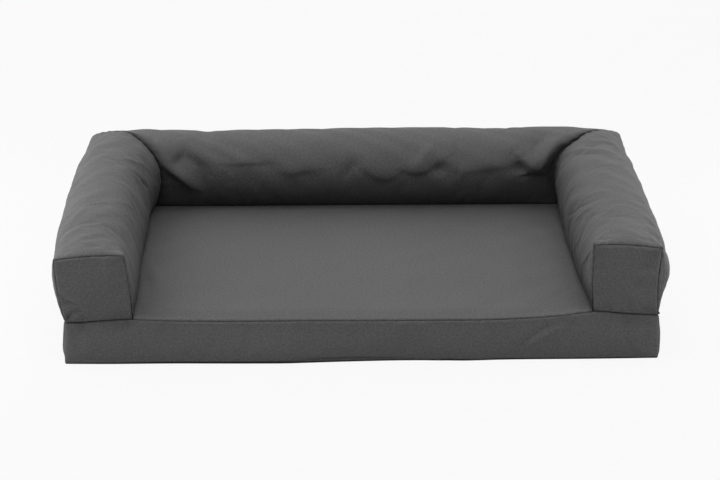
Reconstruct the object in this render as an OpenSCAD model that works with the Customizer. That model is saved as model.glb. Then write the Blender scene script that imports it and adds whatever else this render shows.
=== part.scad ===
// Sofa bed for a dog: a flat foam base in a sewn cover, with a stuffed bolster on three sides.
// The origin is at the middle of the underside, on the floor. The open front faces -Y.

/* [Base] */
// Width of the base across the open front
base_w = 762; // [600:1:900]
// Depth of the base from front to rear
base_d = 508; // [420:1:640]
// Height of the base from the floor to its top seam
base_h = 61; // [50:1:90]
// Thickness of the woven cover with its backing
cloth_t = 1.4; // [0.8:0.1:2]
// Height that the sleeping surface swells above its seams
crown_h = 5; // [2:0.5:12]
// Distance over which the sleeping surface rolls up from the front seam
front_roll = 40; // [20:1:80]
// Distance over which the sleeping surface rises from the bolsters
side_roll = 90; // [40:1:150]

/* [Bolster] */
// Width of the bolster where it is sewn to the base
foot_w = 91; // [75:1:105]
// Radius of the bolster's round section
bolster_r = 60; // [55:1:70]
// Height of the square end panels above the base
end_h = 86; // [70:1:100]
// Distance over which the square front end turns into the round section
end_blend = 150; // [80:1:200]
// Distance from a rear corner over which the outer side bulges out
corner_blend = 130; // [80:1:200]
// Slack between the cover and what fills it
fill_gap = 0.3; // [0.2:0.1:1]

/* [Zip] */
// Distance from each rear corner to the end of the zip's teeth
zip_inset = 61; // [40:1:150]
// Height of the opening between the two halves of the rear band
zip_window_h = 14; // [12:0.5:20]
// Length of the opening past each end of the teeth
zip_window_end = 8; // [6:0.5:12]
// Width of one tape
tape_w = 15; // [12:0.5:18]
// Thickness of the tape
tape_t = 0.7; // [0.4:0.1:1]
// Length of tape sewn in past the end of the opening
tape_end = 5; // [3:0.5:10]
// Distance from one tooth to the next
tooth_pitch = 3.2; // [2.6:0.1:4]
// Width of a tooth along the zip
tooth_w = 1.6; // [1.2:0.1:2]
// Length of a tooth across the zip
tooth_l = 1.8; // [1.4:0.1:2.2]
// Width of the bead that carries the teeth
bead_w = 1; // [0.8:0.1:1.4]
// Height of the teeth above the tape
tooth_h = 1.6; // [1.4:0.1:2]
// Slit between the two rows of teeth, which the slider's web runs in
chain_slit = 1; // [0.9:0.1:1.2]
// Length of a stop at the end of the teeth
stop_l = 3; // [2:0.5:4]

/* [Slider] */
// Length of the slider along the zip
slider_l = 11; // [10:0.5:13]
// Length of the slider's wide nose
slider_nose_l = 5; // [4:0.5:6]
// Width that each side of the slider loses from nose to tail
slider_taper = 0.4; // [0.2:0.1:0.6]
// Thickness of the slider's front and back plates
plate_t = 1.1; // [0.8:0.1:1.4]
// Thickness of the lips that close the slider's sides
lip_t = 0.8; // [0.6:0.1:1]
// Thickness of the web that joins the two plates
web_t = 0.5; // [0.4:0.1:0.5]
// Length of the web
web_l = 2.6; // [2:0.1:4]
// Running clearance between the slider and the teeth and tape
run_gap = 0.25; // [0.2:0.05:0.4]
// Length of the bridge that holds the pull
bridge_l = 7; // [6:0.5:8]
// Width of the bridge
bridge_w = 2; // [1.6:0.1:2.4]
// Height of the bridge above the plate
bridge_h = 3; // [2.8:0.1:3.6]
// Radius of the hole through the bridge
bridge_bore_r = 0.95; // [0.9:0.05:1]

/* [Pull] */
// Radius of the pin that hangs in the bridge
pin_r = 0.65; // [0.5:0.05:0.7]
// Width of each arm beside the bridge
pull_arm_w = 1.2; // [1:0.1:1.6]
// Clearance between the arms and the bridge
pull_gap = 0.3; // [0.2:0.05:0.5]
// Thickness of the pull
pull_t = 1.3; // [1:0.1:1.4]
// Length of the pull from its pin to its far end
pull_l = 25; // [20:0.5:32]
// Radius of the hole in the pull's far end
pull_hole_r = 1.5; // [1:0.1:2]

/* [Hidden] */

cloth_grey = [0.37, 0.37, 0.375];
under_grey = [0.13, 0.13, 0.135];
foam_cream = [0.93, 0.90, 0.80];
fibre_white = [0.95, 0.95, 0.94];
zip_black = [0.06, 0.06, 0.065];
zip_metal = [0.22, 0.22, 0.23];

// Named overrun for cuts, and the smoothness of round parts
cut = 1;
round_fn = 48;

// Edges of the base
front_y = -base_d / 2;
rear_y = base_d / 2;
side_x = base_w / 2;
panel_z = base_h - cloth_t;

// Edges of the sleeping area, at the bolster's inner seams
sleep_x = side_x - foot_w;
sleep_y = rear_y - foot_w;

// Round section of the bolster: an arc that stands on its foot
foot_half = foot_w / 2;
arc_z = sqrt(bolster_r * bolster_r - foot_half * foot_half);
arc_start = 180 + atan(arc_z / foot_half);
arc_sweep = 180 - 2 * arc_start;

// Stations along each bolster and points round its section
bolster_stations = 19;
side_steps = 5;
top_steps = 6;
// Share of the way round at which the square section has its first corner
corner_share = end_h / (2 * end_h + foot_w);
// How square the outer side is at a rear corner, and where round the section that fades out
rear_square_share = 0.85;
outer_fade_share = 0.3;
outer_fade_width_share = 0.4;
arm_l = base_d - foot_half;
back_l = base_w - foot_w;
section_mid = [foot_half, end_h / 2];

turn_shares = concat(
    [for (i = [0 : side_steps]) corner_share * i / side_steps],
    [for (i = [1 : top_steps]) corner_share + (1 - 2 * corner_share) * i / top_steps],
    [for (i = [1 : side_steps]) 1 - corner_share + corner_share * i / side_steps]
);
section_last = len(turn_shares) - 1;

// Grid of the sleeping surface
grid_x_steps = 16;
grid_y_steps = 12;
grid_xs = concat([-side_x], [for (i = [0 : grid_x_steps]) sleep_x * (2 * i / grid_x_steps - 1)], [side_x]);
grid_ys = concat([for (i = [0 : grid_y_steps]) front_y + (sleep_y - front_y) * i / grid_y_steps], [rear_y]);

// Zip in the rear band
zip_z = base_h / 2;
zip_half = side_x - zip_inset;
tape_y = rear_y - cloth_t - tape_t;
tooth_y = rear_y - cloth_t;
chain_half = chain_slit / 2;
row_w = tooth_l + bead_w;
tooth_count = floor((2 * zip_half - tooth_w) / tooth_pitch) + 1;
window_half = zip_half + zip_window_end;
tape_half = window_half + tape_end;

// Slider, seen from behind the bed
slider_half_w = chain_half + row_w + run_gap + lip_t;
plate_y = tooth_y + tooth_h + run_gap;
plate_top_y = plate_y + plate_t;
back_plate_y = tape_y - run_gap - plate_t;
slider_x = zip_half - slider_l / 2;
stop_h = tooth_h + run_gap + plate_t;
pivot_y = plate_top_y + bridge_bore_r + run_gap;
pull_inner_z = bridge_w / 2 + pull_gap;
pull_half_w = pull_inner_z + pull_arm_w;
eye_l = bridge_l / 2 + bridge_w;

// Foam core inside the cover
core_side_x = side_x - cloth_t - fill_gap;
core_front_y = front_y + cloth_t + fill_gap;
core_rear_y = back_plate_y - run_gap;

// Smooth step from 0 to 1
function ease(s) = let (c = min(1, max(0, s))) c * c * (3 - 2 * c);

// Swell of a stuffed surface at a distance from its seam
function swell(distance, roll) = sin(90 * min(1, max(0, distance / roll)));

// Height of the sleeping surface above the base's top seam
function crown(x, y) = crown_h * swell(sleep_x - abs(x), side_roll)
    * swell(y - front_y, front_roll) * swell(sleep_y - y, side_roll);

// Point of the round section, at share t of the way from the outer foot to the inner foot
function round_point(t) = let (angle = arc_start + arc_sweep * t)
    [foot_half + bolster_r * cos(angle), arc_z + bolster_r * sin(angle)];

// Point of the square section at the front end
function square_point(t) = let (run = t * (2 * end_h + foot_w))
    run < end_h ? [0, run]
    : run < end_h + foot_w ? [run - end_h, end_h]
    : [foot_w, 2 * end_h + foot_w - run];

// How square the section is, by its distance from the front end and from the mitre seam
function squareness(t, from_end, from_mitre) = max(
    1 - ease(from_end / end_blend),
    rear_square_share * (1 - ease(from_mitre / corner_blend))
        * (1 - ease((t - outer_fade_share) / outer_fade_width_share))
);

// Point i of the section, drawn in by an inset towards the middle of the section
function section_point(i, inset, from_end, from_mitre) =
    i == 0 ? [inset, 0]
    : i == section_last ? [foot_w - inset, 0]
    : let (
        t = turn_shares[i],
        k = squareness(t, from_end, from_mitre),
        p = (1 - k) * round_point(t) + k * square_point(t),
        inward = section_mid - p
    ) p + inset * inward / norm(inward);

// Section of an arm at share s of its length, from the front end to the mitre seam at the rear
function arm_row(s, inset, start_y) = [
    for (i = [0 : section_last]) let (
        p = section_point(i, inset, s * arm_l, (1 - s) * arm_l),
        mitre = section_point(i, inset, arm_l, 0),
        y = start_y + s * (rear_y - mitre[0] - start_y)
    ) [p[0] - side_x, y, base_h + p[1]]
];

// Section of the back bolster at share s of its length, from one mitre seam to the other
function back_row(s, inset) = [
    for (i = [0 : section_last]) let (
        p = section_point(i, inset, back_l, min(s, 1 - s) * back_l),
        mitre = section_point(i, inset, back_l, 0)
    ) [(side_x - mitre[0]) * (2 * s - 1), rear_y - p[0], base_h + p[1]]
];

function reversed(list) = [for (i = [len(list) - 1 : -1 : 0]) list[i]];

// Side triangles between neighbouring closed rows of n points. From point turned on, each quad is
// split the other way, so that a hollow form's inner wall has the same creases as the form inside it.
function side_faces(rows, n, turned) = [
    for (j = [0 : rows - 2], i = [0 : n - 1])
        let (a = j * n + i, b = j * n + (i + 1) % n, c = b + n, d = a + n)
        each i < turned ? [[a, c, b], [a, d, c]] : [[a, d, b], [b, d, c]]
];

// End cap of a hollow row, whose second half runs back along the first
function strip_cap(first, n) = [
    for (i = [0 : n / 2 - 2])
        let (a = first + i, b = first + i + 1, c = first + n - 2 - i, d = first + n - 1 - i)
        each [[a, b, c], [a, c, d]]
];

// End cap of a solid row
function fan_cap(first, n) = [for (i = [1 : n - 2]) [first, first + i, first + i + 1]];

function flipped(faces) = [for (f = faces) [f[2], f[1], f[0]]];

// Closed skin through rows of points, hollow or solid at its ends
module loft(rows, hollow) {
    n = len(rows[0]);
    last = (len(rows) - 1) * n;
    start_cap = hollow ? strip_cap(0, n) : fan_cap(0, n);
    end_cap = hollow ? strip_cap(last, n) : fan_cap(last, n);
    polyhedron(
        points = [for (row = rows) each row],
        faces = concat(side_faces(len(rows), n, hollow ? n / 2 : n), start_cap, flipped(end_cap))
    );
}

// Slab on the grid: a crowned top, over an underside that is crowned alike or flat
module crowned_slab(xs, ys, top_z, under_z, under_crown) {
    nx = len(xs);
    ny = len(ys);
    half = nx * ny;
    tops = [for (y = ys, x = xs) [x, y, top_z + crown(x, y)]];
    unders = [for (y = ys, x = xs) [x, y, under_z + under_crown * crown(x, y)]];
    rim = concat(
        [for (i = [0 : nx - 1]) i],
        [for (j = [1 : ny - 1]) j * nx + nx - 1],
        [for (i = [nx - 2 : -1 : 0]) (ny - 1) * nx + i],
        [for (j = [ny - 2 : -1 : 1]) j * nx]
    );
    top_faces = [
        for (j = [0 : ny - 2], i = [0 : nx - 2])
            let (a = j * nx + i, b = a + 1, c = b + nx, d = a + nx)
            each [[a, c, b], [a, d, c]]
    ];
    under_faces = [for (f = flipped(top_faces)) [for (v = f) v + half]];
    rim_faces = [
        for (i = [0 : len(rim) - 1])
            let (a = rim[i], b = rim[(i + 1) % len(rim)])
            each [[a, b, b + half], [a, b + half, a + half]]
    ];
    polyhedron(points = concat(tops, unders), faces = concat(top_faces, under_faces, rim_faces));
}

module block(low, high) {
    translate(low)
        cube(high - low);
}

// Wrap of cloth round an arm, open below and at both ends
module arm_wrap() {
    rows = [
        for (j = [0 : bolster_stations]) let (s = j / bolster_stations)
            concat(arm_row(s, 0, front_y + cloth_t), reversed(arm_row(s, cloth_t, front_y + cloth_t)))
    ];
    loft(rows, true);
}

module arm_fill() {
    inset = cloth_t + fill_gap;
    loft([for (j = [0 : bolster_stations]) arm_row(j / bolster_stations, inset, front_y + inset)], false);
}

// One row of teeth along the opening, on a bead at the edge of its tape
module tooth_row(shift) {
    comb = concat(
        [[-zip_half, chain_half + row_w], [-zip_half, chain_half + tooth_l]],
        [
            for (i = [0 : tooth_count - 1]) let (x = -zip_half + shift + i * tooth_pitch)
                if (x + tooth_w < zip_half)
                    each [
                        [x, chain_half + tooth_l], [x, chain_half],
                        [x + tooth_w, chain_half], [x + tooth_w, chain_half + tooth_l]
                    ]
        ],
        [[zip_half, chain_half + tooth_l], [zip_half, chain_half + row_w]]
    );
    translate([0, tooth_y + tooth_h, zip_z])
        rotate([90, 0, 0])
            linear_extrude(tooth_h)
                polygon(comb);
}

// Upper half of the rear band, with half of the opening for the zip cut from its lower edge
module rear_band_half() {
    difference() {
        block([-side_x, tooth_y, zip_z], [side_x, rear_y, panel_z]);
        block(
            [-window_half, tooth_y - cut, zip_z - cut],
            [window_half, rear_y + cut, zip_z + zip_window_h / 2]
        );
    }
}

module zip_tape() {
    block(
        [-tape_half, tape_y, zip_z + chain_half],
        [tape_half, tooth_y, zip_z + chain_half + tape_w]
    );
}

// Turns what is drawn above the zip's centre line upside down
module below_zip() {
    translate([0, 0, 2 * zip_z])
        mirror([0, 0, 1])
            children();
}

// Plate of the slider, wide over its nose and drawn in towards its tail
module slider_plate(y, thick) {
    nose_x = slider_l / 2 - slider_nose_l;
    tail_w = slider_half_w - slider_taper;
    translate([slider_x, y + thick, zip_z])
        rotate([90, 0, 0])
            linear_extrude(thick)
                polygon([
                    [-slider_l / 2, -tail_w + lip_t],
                    [-slider_l / 2 + lip_t, -tail_w],
                    [nose_x, -slider_half_w],
                    [slider_l / 2 - lip_t, -slider_half_w],
                    [slider_l / 2, -slider_half_w + lip_t],
                    [slider_l / 2, slider_half_w - lip_t],
                    [slider_l / 2 - lip_t, slider_half_w],
                    [nose_x, slider_half_w],
                    [-slider_l / 2 + lip_t, tail_w],
                    [-slider_l / 2, tail_w - lip_t]
                ]);
}

module foam_core() {
    core_xs = [for (x = grid_xs) max(-core_side_x, min(core_side_x, x))];
    core_ys = [for (y = grid_ys) max(core_front_y, min(core_rear_y, y))];
    color(foam_cream)
        crowned_slab(core_xs, core_ys, panel_z - fill_gap, cloth_t, 0);
}

module bottom_panel() {
    color(under_grey)
        block([-side_x, front_y, 0], [side_x, rear_y, cloth_t]);
}

module sleep_panel() {
    color(cloth_grey)
        crowned_slab(grid_xs, grid_ys, base_h, panel_z, 1);
}

module front_band() {
    color(cloth_grey)
        block([-side_x, front_y, cloth_t], [side_x, front_y + cloth_t, panel_z]);
}

module right_band() {
    color(cloth_grey)
        block([side_x - cloth_t, front_y + cloth_t, cloth_t], [side_x, tooth_y, panel_z]);
}

module left_band() {
    mirror([1, 0, 0])
        right_band();
}

module rear_band_upper() {
    color(cloth_grey)
        rear_band_half();
}

module rear_band_lower() {
    color(cloth_grey)
        below_zip()
            rear_band_half();
}

module left_arm_wrap() {
    color(cloth_grey)
        arm_wrap();
}

module right_arm_wrap() {
    color(cloth_grey)
        mirror([1, 0, 0])
            arm_wrap();
}

module back_wrap() {
    rows = [
        for (j = [0 : bolster_stations]) let (s = j / bolster_stations)
            concat(back_row(s, 0), reversed(back_row(s, cloth_t)))
    ];
    color(cloth_grey)
        loft(rows, true);
}

module left_arm_end() {
    color(cloth_grey)
        block([-side_x, front_y, base_h], [foot_w - side_x, front_y + cloth_t, base_h + end_h]);
}

module right_arm_end() {
    mirror([1, 0, 0])
        left_arm_end();
}

module left_arm_fill() {
    color(fibre_white)
        arm_fill();
}

module right_arm_fill() {
    color(fibre_white)
        mirror([1, 0, 0])
            arm_fill();
}

module back_fill() {
    color(fibre_white)
        loft([for (j = [0 : bolster_stations]) back_row(j / bolster_stations, cloth_t + fill_gap)], false);
}

module zip_tape_upper() {
    color(zip_black)
        zip_tape();
}

module zip_tape_lower() {
    color(zip_black)
        below_zip()
            zip_tape();
}

module zip_teeth_upper() {
    color(zip_black)
        tooth_row(0);
}

module zip_teeth_lower() {
    color(zip_black)
        below_zip()
            tooth_row(tooth_pitch / 2);
}

// One stop on each tape, past the closed end of the teeth
module zip_top_stops() {
    color(zip_metal)
        for (side = [-1, 1])
            translate([0, 0, side * (chain_half + row_w / 2)])
                block(
                    [zip_half + run_gap, tooth_y, zip_z - row_w / 2],
                    [zip_half + run_gap + stop_l, tooth_y + stop_h, zip_z + row_w / 2]
                );
}

// One stop across both tapes, past the open end of the teeth
module zip_bottom_stop() {
    reach = chain_half + row_w;
    color(zip_metal)
        block(
            [-zip_half - run_gap - stop_l, tooth_y, zip_z - reach],
            [-zip_half - run_gap, tooth_y + stop_h, zip_z + reach]
        );
}

// Two plates round the teeth, with lips at the sides, a web in the slit and a bridge for the pull
module zip_slider() {
    lip_x = slider_x + slider_l / 2 - slider_nose_l;
    color(zip_metal) {
        slider_plate(plate_y, plate_t);
        slider_plate(back_plate_y, plate_t);
        block(
            [slider_x + slider_l / 2 - web_l, back_plate_y, zip_z - web_t / 2],
            [slider_x + slider_l / 2, plate_top_y, zip_z + web_t / 2]
        );
        for (side = [-1, 1])
            translate([0, 0, side * (slider_half_w - lip_t / 2)])
                block(
                    [lip_x, tooth_y + run_gap, zip_z - lip_t / 2],
                    [lip_x + slider_nose_l - lip_t, plate_top_y, zip_z + lip_t / 2]
                );
        difference() {
            block(
                [slider_x - bridge_l / 2, plate_y, zip_z - bridge_w / 2],
                [slider_x + bridge_l / 2, plate_top_y + bridge_h, zip_z + bridge_w / 2]
            );
            translate([slider_x, pivot_y, zip_z - bridge_w / 2 - cut])
                cylinder(h = bridge_w + 2 * cut, r = bridge_bore_r, $fn = round_fn);
        }
    }
}

// Tab that hangs from the bridge on its pin, lying along the closed teeth
module zip_pull() {
    end_x = pull_half_w - pull_l;
    color(zip_metal)
        translate([slider_x, pivot_y, zip_z]) {
            translate([0, 0, -pull_half_w])
                cylinder(h = 2 * pull_half_w, r = pin_r, $fn = round_fn);
            for (side = [-1, 1])
                translate([0, 0, side * (pull_inner_z + pull_arm_w / 2)])
                    block([-eye_l, -pull_t / 2, -pull_arm_w / 2], [0, pull_t / 2, pull_arm_w / 2]);
            difference() {
                union() {
                    block([end_x, -pull_t / 2, -pull_half_w], [-eye_l, pull_t / 2, pull_half_w]);
                    translate([end_x, pull_t / 2, 0])
                        rotate([90, 0, 0])
                            cylinder(h = pull_t, r = pull_half_w, $fn = round_fn);
                }
                translate([end_x, pull_t / 2 + cut, 0])
                    rotate([90, 0, 0])
                        cylinder(h = pull_t + 2 * cut, r = pull_hole_r, $fn = round_fn);
            }
        }
}

foam_core();
bottom_panel();
sleep_panel();
front_band();
left_band();
right_band();
rear_band_upper();
rear_band_lower();
left_arm_wrap();
right_arm_wrap();
back_wrap();
left_arm_end();
right_arm_end();
left_arm_fill();
right_arm_fill();
back_fill();
zip_tape_upper();
zip_tape_lower();
zip_teeth_upper();
zip_teeth_lower();
zip_top_stops();
zip_bottom_stop();
zip_slider();
zip_pull();
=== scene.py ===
import math

import bpy
import numpy as np
from mathutils import Matrix, Vector
from mathutils.bvhtree import BVHTree
from mathutils.kdtree import KDTree


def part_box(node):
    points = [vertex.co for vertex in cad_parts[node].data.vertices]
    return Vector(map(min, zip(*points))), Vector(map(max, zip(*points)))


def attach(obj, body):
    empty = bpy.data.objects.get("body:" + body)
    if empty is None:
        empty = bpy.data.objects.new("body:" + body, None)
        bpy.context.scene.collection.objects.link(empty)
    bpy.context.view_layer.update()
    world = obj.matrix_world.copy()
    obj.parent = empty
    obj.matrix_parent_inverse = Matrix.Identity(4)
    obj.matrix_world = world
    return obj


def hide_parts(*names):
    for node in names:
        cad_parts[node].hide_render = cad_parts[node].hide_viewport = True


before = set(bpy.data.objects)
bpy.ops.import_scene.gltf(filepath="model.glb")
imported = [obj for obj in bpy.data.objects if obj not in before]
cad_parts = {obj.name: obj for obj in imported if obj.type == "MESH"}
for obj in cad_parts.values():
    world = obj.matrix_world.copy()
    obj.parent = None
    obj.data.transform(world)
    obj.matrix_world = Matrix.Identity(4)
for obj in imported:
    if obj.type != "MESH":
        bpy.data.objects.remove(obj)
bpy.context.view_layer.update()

# Dog sofa bed: a foam base and a stuffed bolster on three sides, in a sewn cover of grey canvas.
# Shapes are worked out in millimetres, in the frame of the CAD model, and become metres in the meshes.

MM = 0.001


def node_box(node):
    """Lowest and highest corner of a CAD node, in millimetres."""
    low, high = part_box(node)
    return np.array(low) / MM, np.array(high) / MM


# Sizes that come from the CAD model

BOTTOM_HIGH = node_box("bottom_panel")[1]
END_LOW, END_HIGH = node_box("left_arm_end")
HALF_W = BOTTOM_HIGH[0]
HALF_D = BOTTOM_HIGH[1]
CLOTH = BOTTOM_HIGH[2]
BASE_H = END_LOW[2]
FOOT = END_HIGH[0] - END_LOW[0]
END_H = END_HIGH[2] - END_LOW[2]
ROLL_H = node_box("back_wrap")[1][2] - BASE_H
ROLL_R = (FOOT * FOOT / 4 + ROLL_H * ROLL_H) / (2 * ROLL_H)
CROWN_H = node_box("sleep_panel")[1][2] - BASE_H
ZIP_Z = (node_box("zip_teeth_upper")[1][2] + node_box("zip_teeth_lower")[0][2]) / 2
ZIP_WINDOW_HALF = 328
ZIP_WINDOW_H = 14

# Camera, from the photograph's perspective: its place, its turn and its focal length in pixels

PHOTO_W, PHOTO_H = 720, 480
CAMERA_AT = np.array([-57.9, -3048.4, 1220.4])
CAMERA_DOWN = math.radians(20.70)
CAMERA_YAW = math.radians(1.12)
FOCAL_PX = 2374
SENSOR = 36


def camera_axes():
    """The camera's right, up and forward directions."""
    forward = np.array([
        math.sin(CAMERA_YAW) * math.cos(CAMERA_DOWN),
        math.cos(CAMERA_YAW) * math.cos(CAMERA_DOWN),
        -math.sin(CAMERA_DOWN),
    ])
    right = np.array([math.cos(CAMERA_YAW), -math.sin(CAMERA_YAW), 0.0])
    return right, np.cross(right, forward), forward


def photo_pixels(points):
    """Where points of the bed lie in the photograph, in pixels."""
    right, up, forward = camera_axes()
    offset = points - CAMERA_AT
    depth = offset @ forward
    return np.stack([
        PHOTO_W / 2 + FOCAL_PX * (offset @ right) / depth,
        PHOTO_H / 2 - FOCAL_PX * (offset @ up) / depth,
    ], axis=-1)


# Curves and blends


def ease(x):
    """Smooth step from 0 to 1."""
    x = np.clip(x, 0, 1)
    return x * x * (3 - 2 * x)


TINY = 1e-9


def bell(x, width):
    """A bump of height 1 at 0."""
    return np.exp(-(x / width) ** 2)


def unit(vectors):
    """The vectors with a length of 1."""
    return vectors / np.maximum(np.linalg.norm(vectors, axis=-1, keepdims=True), TINY)


def smoothing(steps):
    """The weights of a bell curve over the given steps, which add up to 1."""
    kernel = np.exp(-0.5 * steps ** 2)
    return kernel / kernel.sum()


def seed_of(panel, factor):
    """A start for a panel's random draws that is the same in each run."""
    return sum(map(ord, panel)) * factor


def through(knots, at):
    """Smooth curve through knots (position, value, ...), read at the given positions."""
    knots = np.asarray(knots, dtype=float)
    place, value = knots[:, 0], knots[:, 1:]
    slope = np.gradient(value, place, axis=0)
    at = np.clip(np.asarray(at, dtype=float), place[0], place[-1])
    i = np.clip(np.searchsorted(place, at, side="right") - 1, 0, len(place) - 2)
    step = place[i + 1] - place[i]
    t = ((at - place[i]) / step)[..., None]
    step = step[..., None]
    return (
        (2 * t**3 - 3 * t**2 + 1) * value[i]
        + (t**3 - 2 * t**2 + t) * step * slope[i]
        + (3 * t**2 - 2 * t**3) * value[i + 1]
        + (t**3 - t**2) * step * slope[i + 1]
    )


# Bolster sections. A section runs from the outer foot (turn 0) up the side (to 1), over the top
# (to 2) and down to the inner foot (turn 3). Its points are (distance in from the base's edge, height
# above the base).

TURNS = np.linspace(0, 3, 301)

# How the square front end of each arm leans and sags: its corners' shifts from the CAD square
CORNER_SHIFTS = {
    "left": [(1.5, -7.2), (-9.8, -6.8), (-10.5, -1.4), (-2.1, -2.4)],
    "right": [(3, -2.6), (0.2, 3.6), (-2.1, 9), (-3.4, 3.6)],
}

# How far the front end's outer side, top and inner side bow out, at the seam and well behind it
SEAM_BOWS = {"left": (2.0, 2.0, 1.5), "right": (-3.0, 2.0, 1.5)}
WRAP_BOWS = {"left": (9, 8, 1), "right": (15, 8, 2)}
BOW_REACH = 14

# Sections halfway along the arms: round outside, steeper inside
MIDDLES = {
    "left": [
        (0, 0, 0), (0.3, -10, 15), (0.6, -16.5, 33), (0.9, -18.5, 55), (1.15, -12, 76), (1.4, 6, 91),
        (1.6, 24, 97.5), (1.8, 44, 97.5), (1.9, 55, 95), (2, 64, 90), (2.15, 74, 80), (2.3, 81, 67),
        (2.5, 87.5, 49), (2.7, 91.5, 31), (2.85, 92.5, 15), (3, 91, 0),
    ],
    "right": [
        (0, 0, 0), (0.3, -8, 15), (0.6, -13, 33), (0.9, -15, 55), (1.15, -9, 76), (1.4, 9, 91),
        (1.6, 29, 97.5), (1.8, 50, 97.5), (1.9, 60, 95), (2, 70, 90), (2.15, 80, 80), (2.3, 87, 67),
        (2.5, 91, 50), (2.7, 92.5, 33), (2.85, 92.5, 16), (3, 91, 0),
    ],
}

# Sections at the rear corners' diagonal seams: (turn, distance in, height above the base)
MITRES = {
    "left": [
        (0, 0, 0), (0.5, -4, 38), (0.92, -4, 72), (1.05, 0, 79), (1.25, 16, 87.5), (1.5, 38, 96),
        (1.75, 57, 99), (1.9, 70, 94),
        (2, 78, 89.5), (2.2, 92, 77), (2.45, 101, 60), (2.65, 102, 42), (2.85, 97, 18), (3, 91, 0),
    ],
    "right": [
        (0, 0, 0), (0.5, -6, 37), (0.9, -8, 68), (1.05, -4, 76), (1.25, 12, 85), (1.5, 33, 91.5),
        (1.75, 53, 91.5), (1.9, 66, 87),
        (2, 75, 84), (2.2, 87.5, 76), (2.45, 95.5, 62), (2.65, 97, 45), (2.85, 94.5, 20), (3, 91, 0),
    ],
}

# How far the inner foot sways from its straight line, towards the middle of the bed: (y, sway)
INNER_SWAY = {
    "left": [(-254, 0), (-183, -1), (-112, -3.5), (-40, -4), (20, -3.5), (85, -4), (140, -4), (163, -2)],
    "right": [(-254, 0), (-196, 0), (-111, 1), (-52, 2), (10, 3.5), (41, 3), (106, 2), (163, 0)],
}

# How far the arms' outer sides sway outwards: (y, sway)
OUTER_SWAY = {
    "left": [
        (-254, 0), (-171, 2.1), (-138, 2.3), (-105, 1.2), (36, 0.6), (111, -0.6), (150, -1.8), (190, -3),
    ],
    "right": [
        (-254, 0), (-186, 3), (-154, 4), (-120, 1.6), (-86, 0), (-51, -1), (58, -1), (96, -2.6),
        (134, -3.2), (174, -4.3), (214, -2.8),
    ],
}

# Where the sways take hold: the inner one past a turn, and each one at a distance from the mitre
INNER_FROM = 1.8
INNER_OVER = 0.6
INNER_FADE = 40
OUTER_FADE = 60

# Rounding of the square corners behind the front seam: distance from the seam, radius
CORNER_ROUNDING = [(0, 1), (8, 2.5), (20, 7), (40, 14), (75, 22), (200, 24)]
FRONT_REACH = 150
MITRE_REACH = 120


def side_at(turn):
    """The side of the square at each turn, the share of the way along it, and its way outwards."""
    side = np.clip(turn.astype(int), 0, 2)
    return side, turn - side, np.array([(-1, 0), (0, 1), (1, 0)])[side]


def square_section(arm, turn):
    """The front end's section, with its sides bowed out a little."""
    corners = np.array([(0, 0), (0, END_H), (FOOT, END_H), (FOOT, 0)]) + np.array(CORNER_SHIFTS[arm])
    side, part, out = side_at(turn)
    part = part[..., None]
    bow = np.array(SEAM_BOWS[arm])[side][..., None] * np.sin(np.pi * part)
    return corners[side] * (1 - part) + corners[side + 1] * part + bow * out


def more_bow(arm, turn, distance):
    """How much further the sides bow out behind the seam."""
    side, part, out = side_at(turn)
    wave = np.sin(np.pi * part)
    bows = np.array(WRAP_BOWS[arm]) - np.array(SEAM_BOWS[arm])
    size = bows[side] * wave * (1 - np.exp(-distance / BOW_REACH))
    return size[..., None] * out


def round_section(turn):
    """The round section: an arc that stands on its foot."""
    middle = ROLL_H - ROLL_R
    start = math.pi + math.atan2(middle, FOOT / 2)
    angle = start + (math.pi - 2 * start) * turn / 3
    return np.stack([FOOT / 2 + ROLL_R * np.cos(angle), middle + ROLL_R * np.sin(angle)], axis=-1)


def softened(section, radius):
    """The section with its corners rounded, and its feet kept where they are."""
    step = (2 * END_H + FOOT) / (len(TURNS) - 1)
    reach = max(1, int(round(3 * radius / step)))
    kernel = smoothing(np.arange(-reach, reach + 1) * step / radius)
    before = 2 * section[0] - section[reach:0:-1]
    after = 2 * section[-1] - section[-2:-2 - reach:-1]
    padded = np.concatenate([before, section, after])
    return np.stack([np.convolve(padded[:, k], kernel, mode="valid") for k in (0, 1)], axis=-1)


# Radii of the front sections that are worked out once, and blended between
ROUNDINGS = [1, 4, 8, 14, 24]


def section_table(arm):
    square = square_section(arm, TURNS)
    return np.stack([softened(square, radius) for radius in ROUNDINGS])


FRONT_SECTIONS = {arm: section_table(arm) for arm in CORNER_SHIFTS}


def from_table(table, turn):
    """Rows of a table over TURNS, read at other turns."""
    return np.stack([np.interp(turn, TURNS, table[:, k]) for k in (0, 1)], axis=-1)


def front_section(side, turn, distance):
    """The square end's section, rounded more with distance behind the seam."""
    radius = through(CORNER_ROUNDING, distance)[..., 0]
    level = np.interp(radius, ROUNDINGS, np.arange(len(ROUNDINGS)))
    result = 0
    for k, table in enumerate(FRONT_SECTIONS[side]):
        weight = np.clip(1 - np.abs(level - k), 0, 1)[..., None]
        result = result + weight * from_table(table, turn)
    return result + more_bow(side, turn, distance)


def mitre_share(distance):
    """How much of the corner seam's section shows at a distance from it, as where a seam pulls in."""
    return (1 - np.clip(distance / MITRE_REACH, 0, 1)) ** 2


def mitre_section(side, turn):
    return through(MITRES[side], turn)


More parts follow.
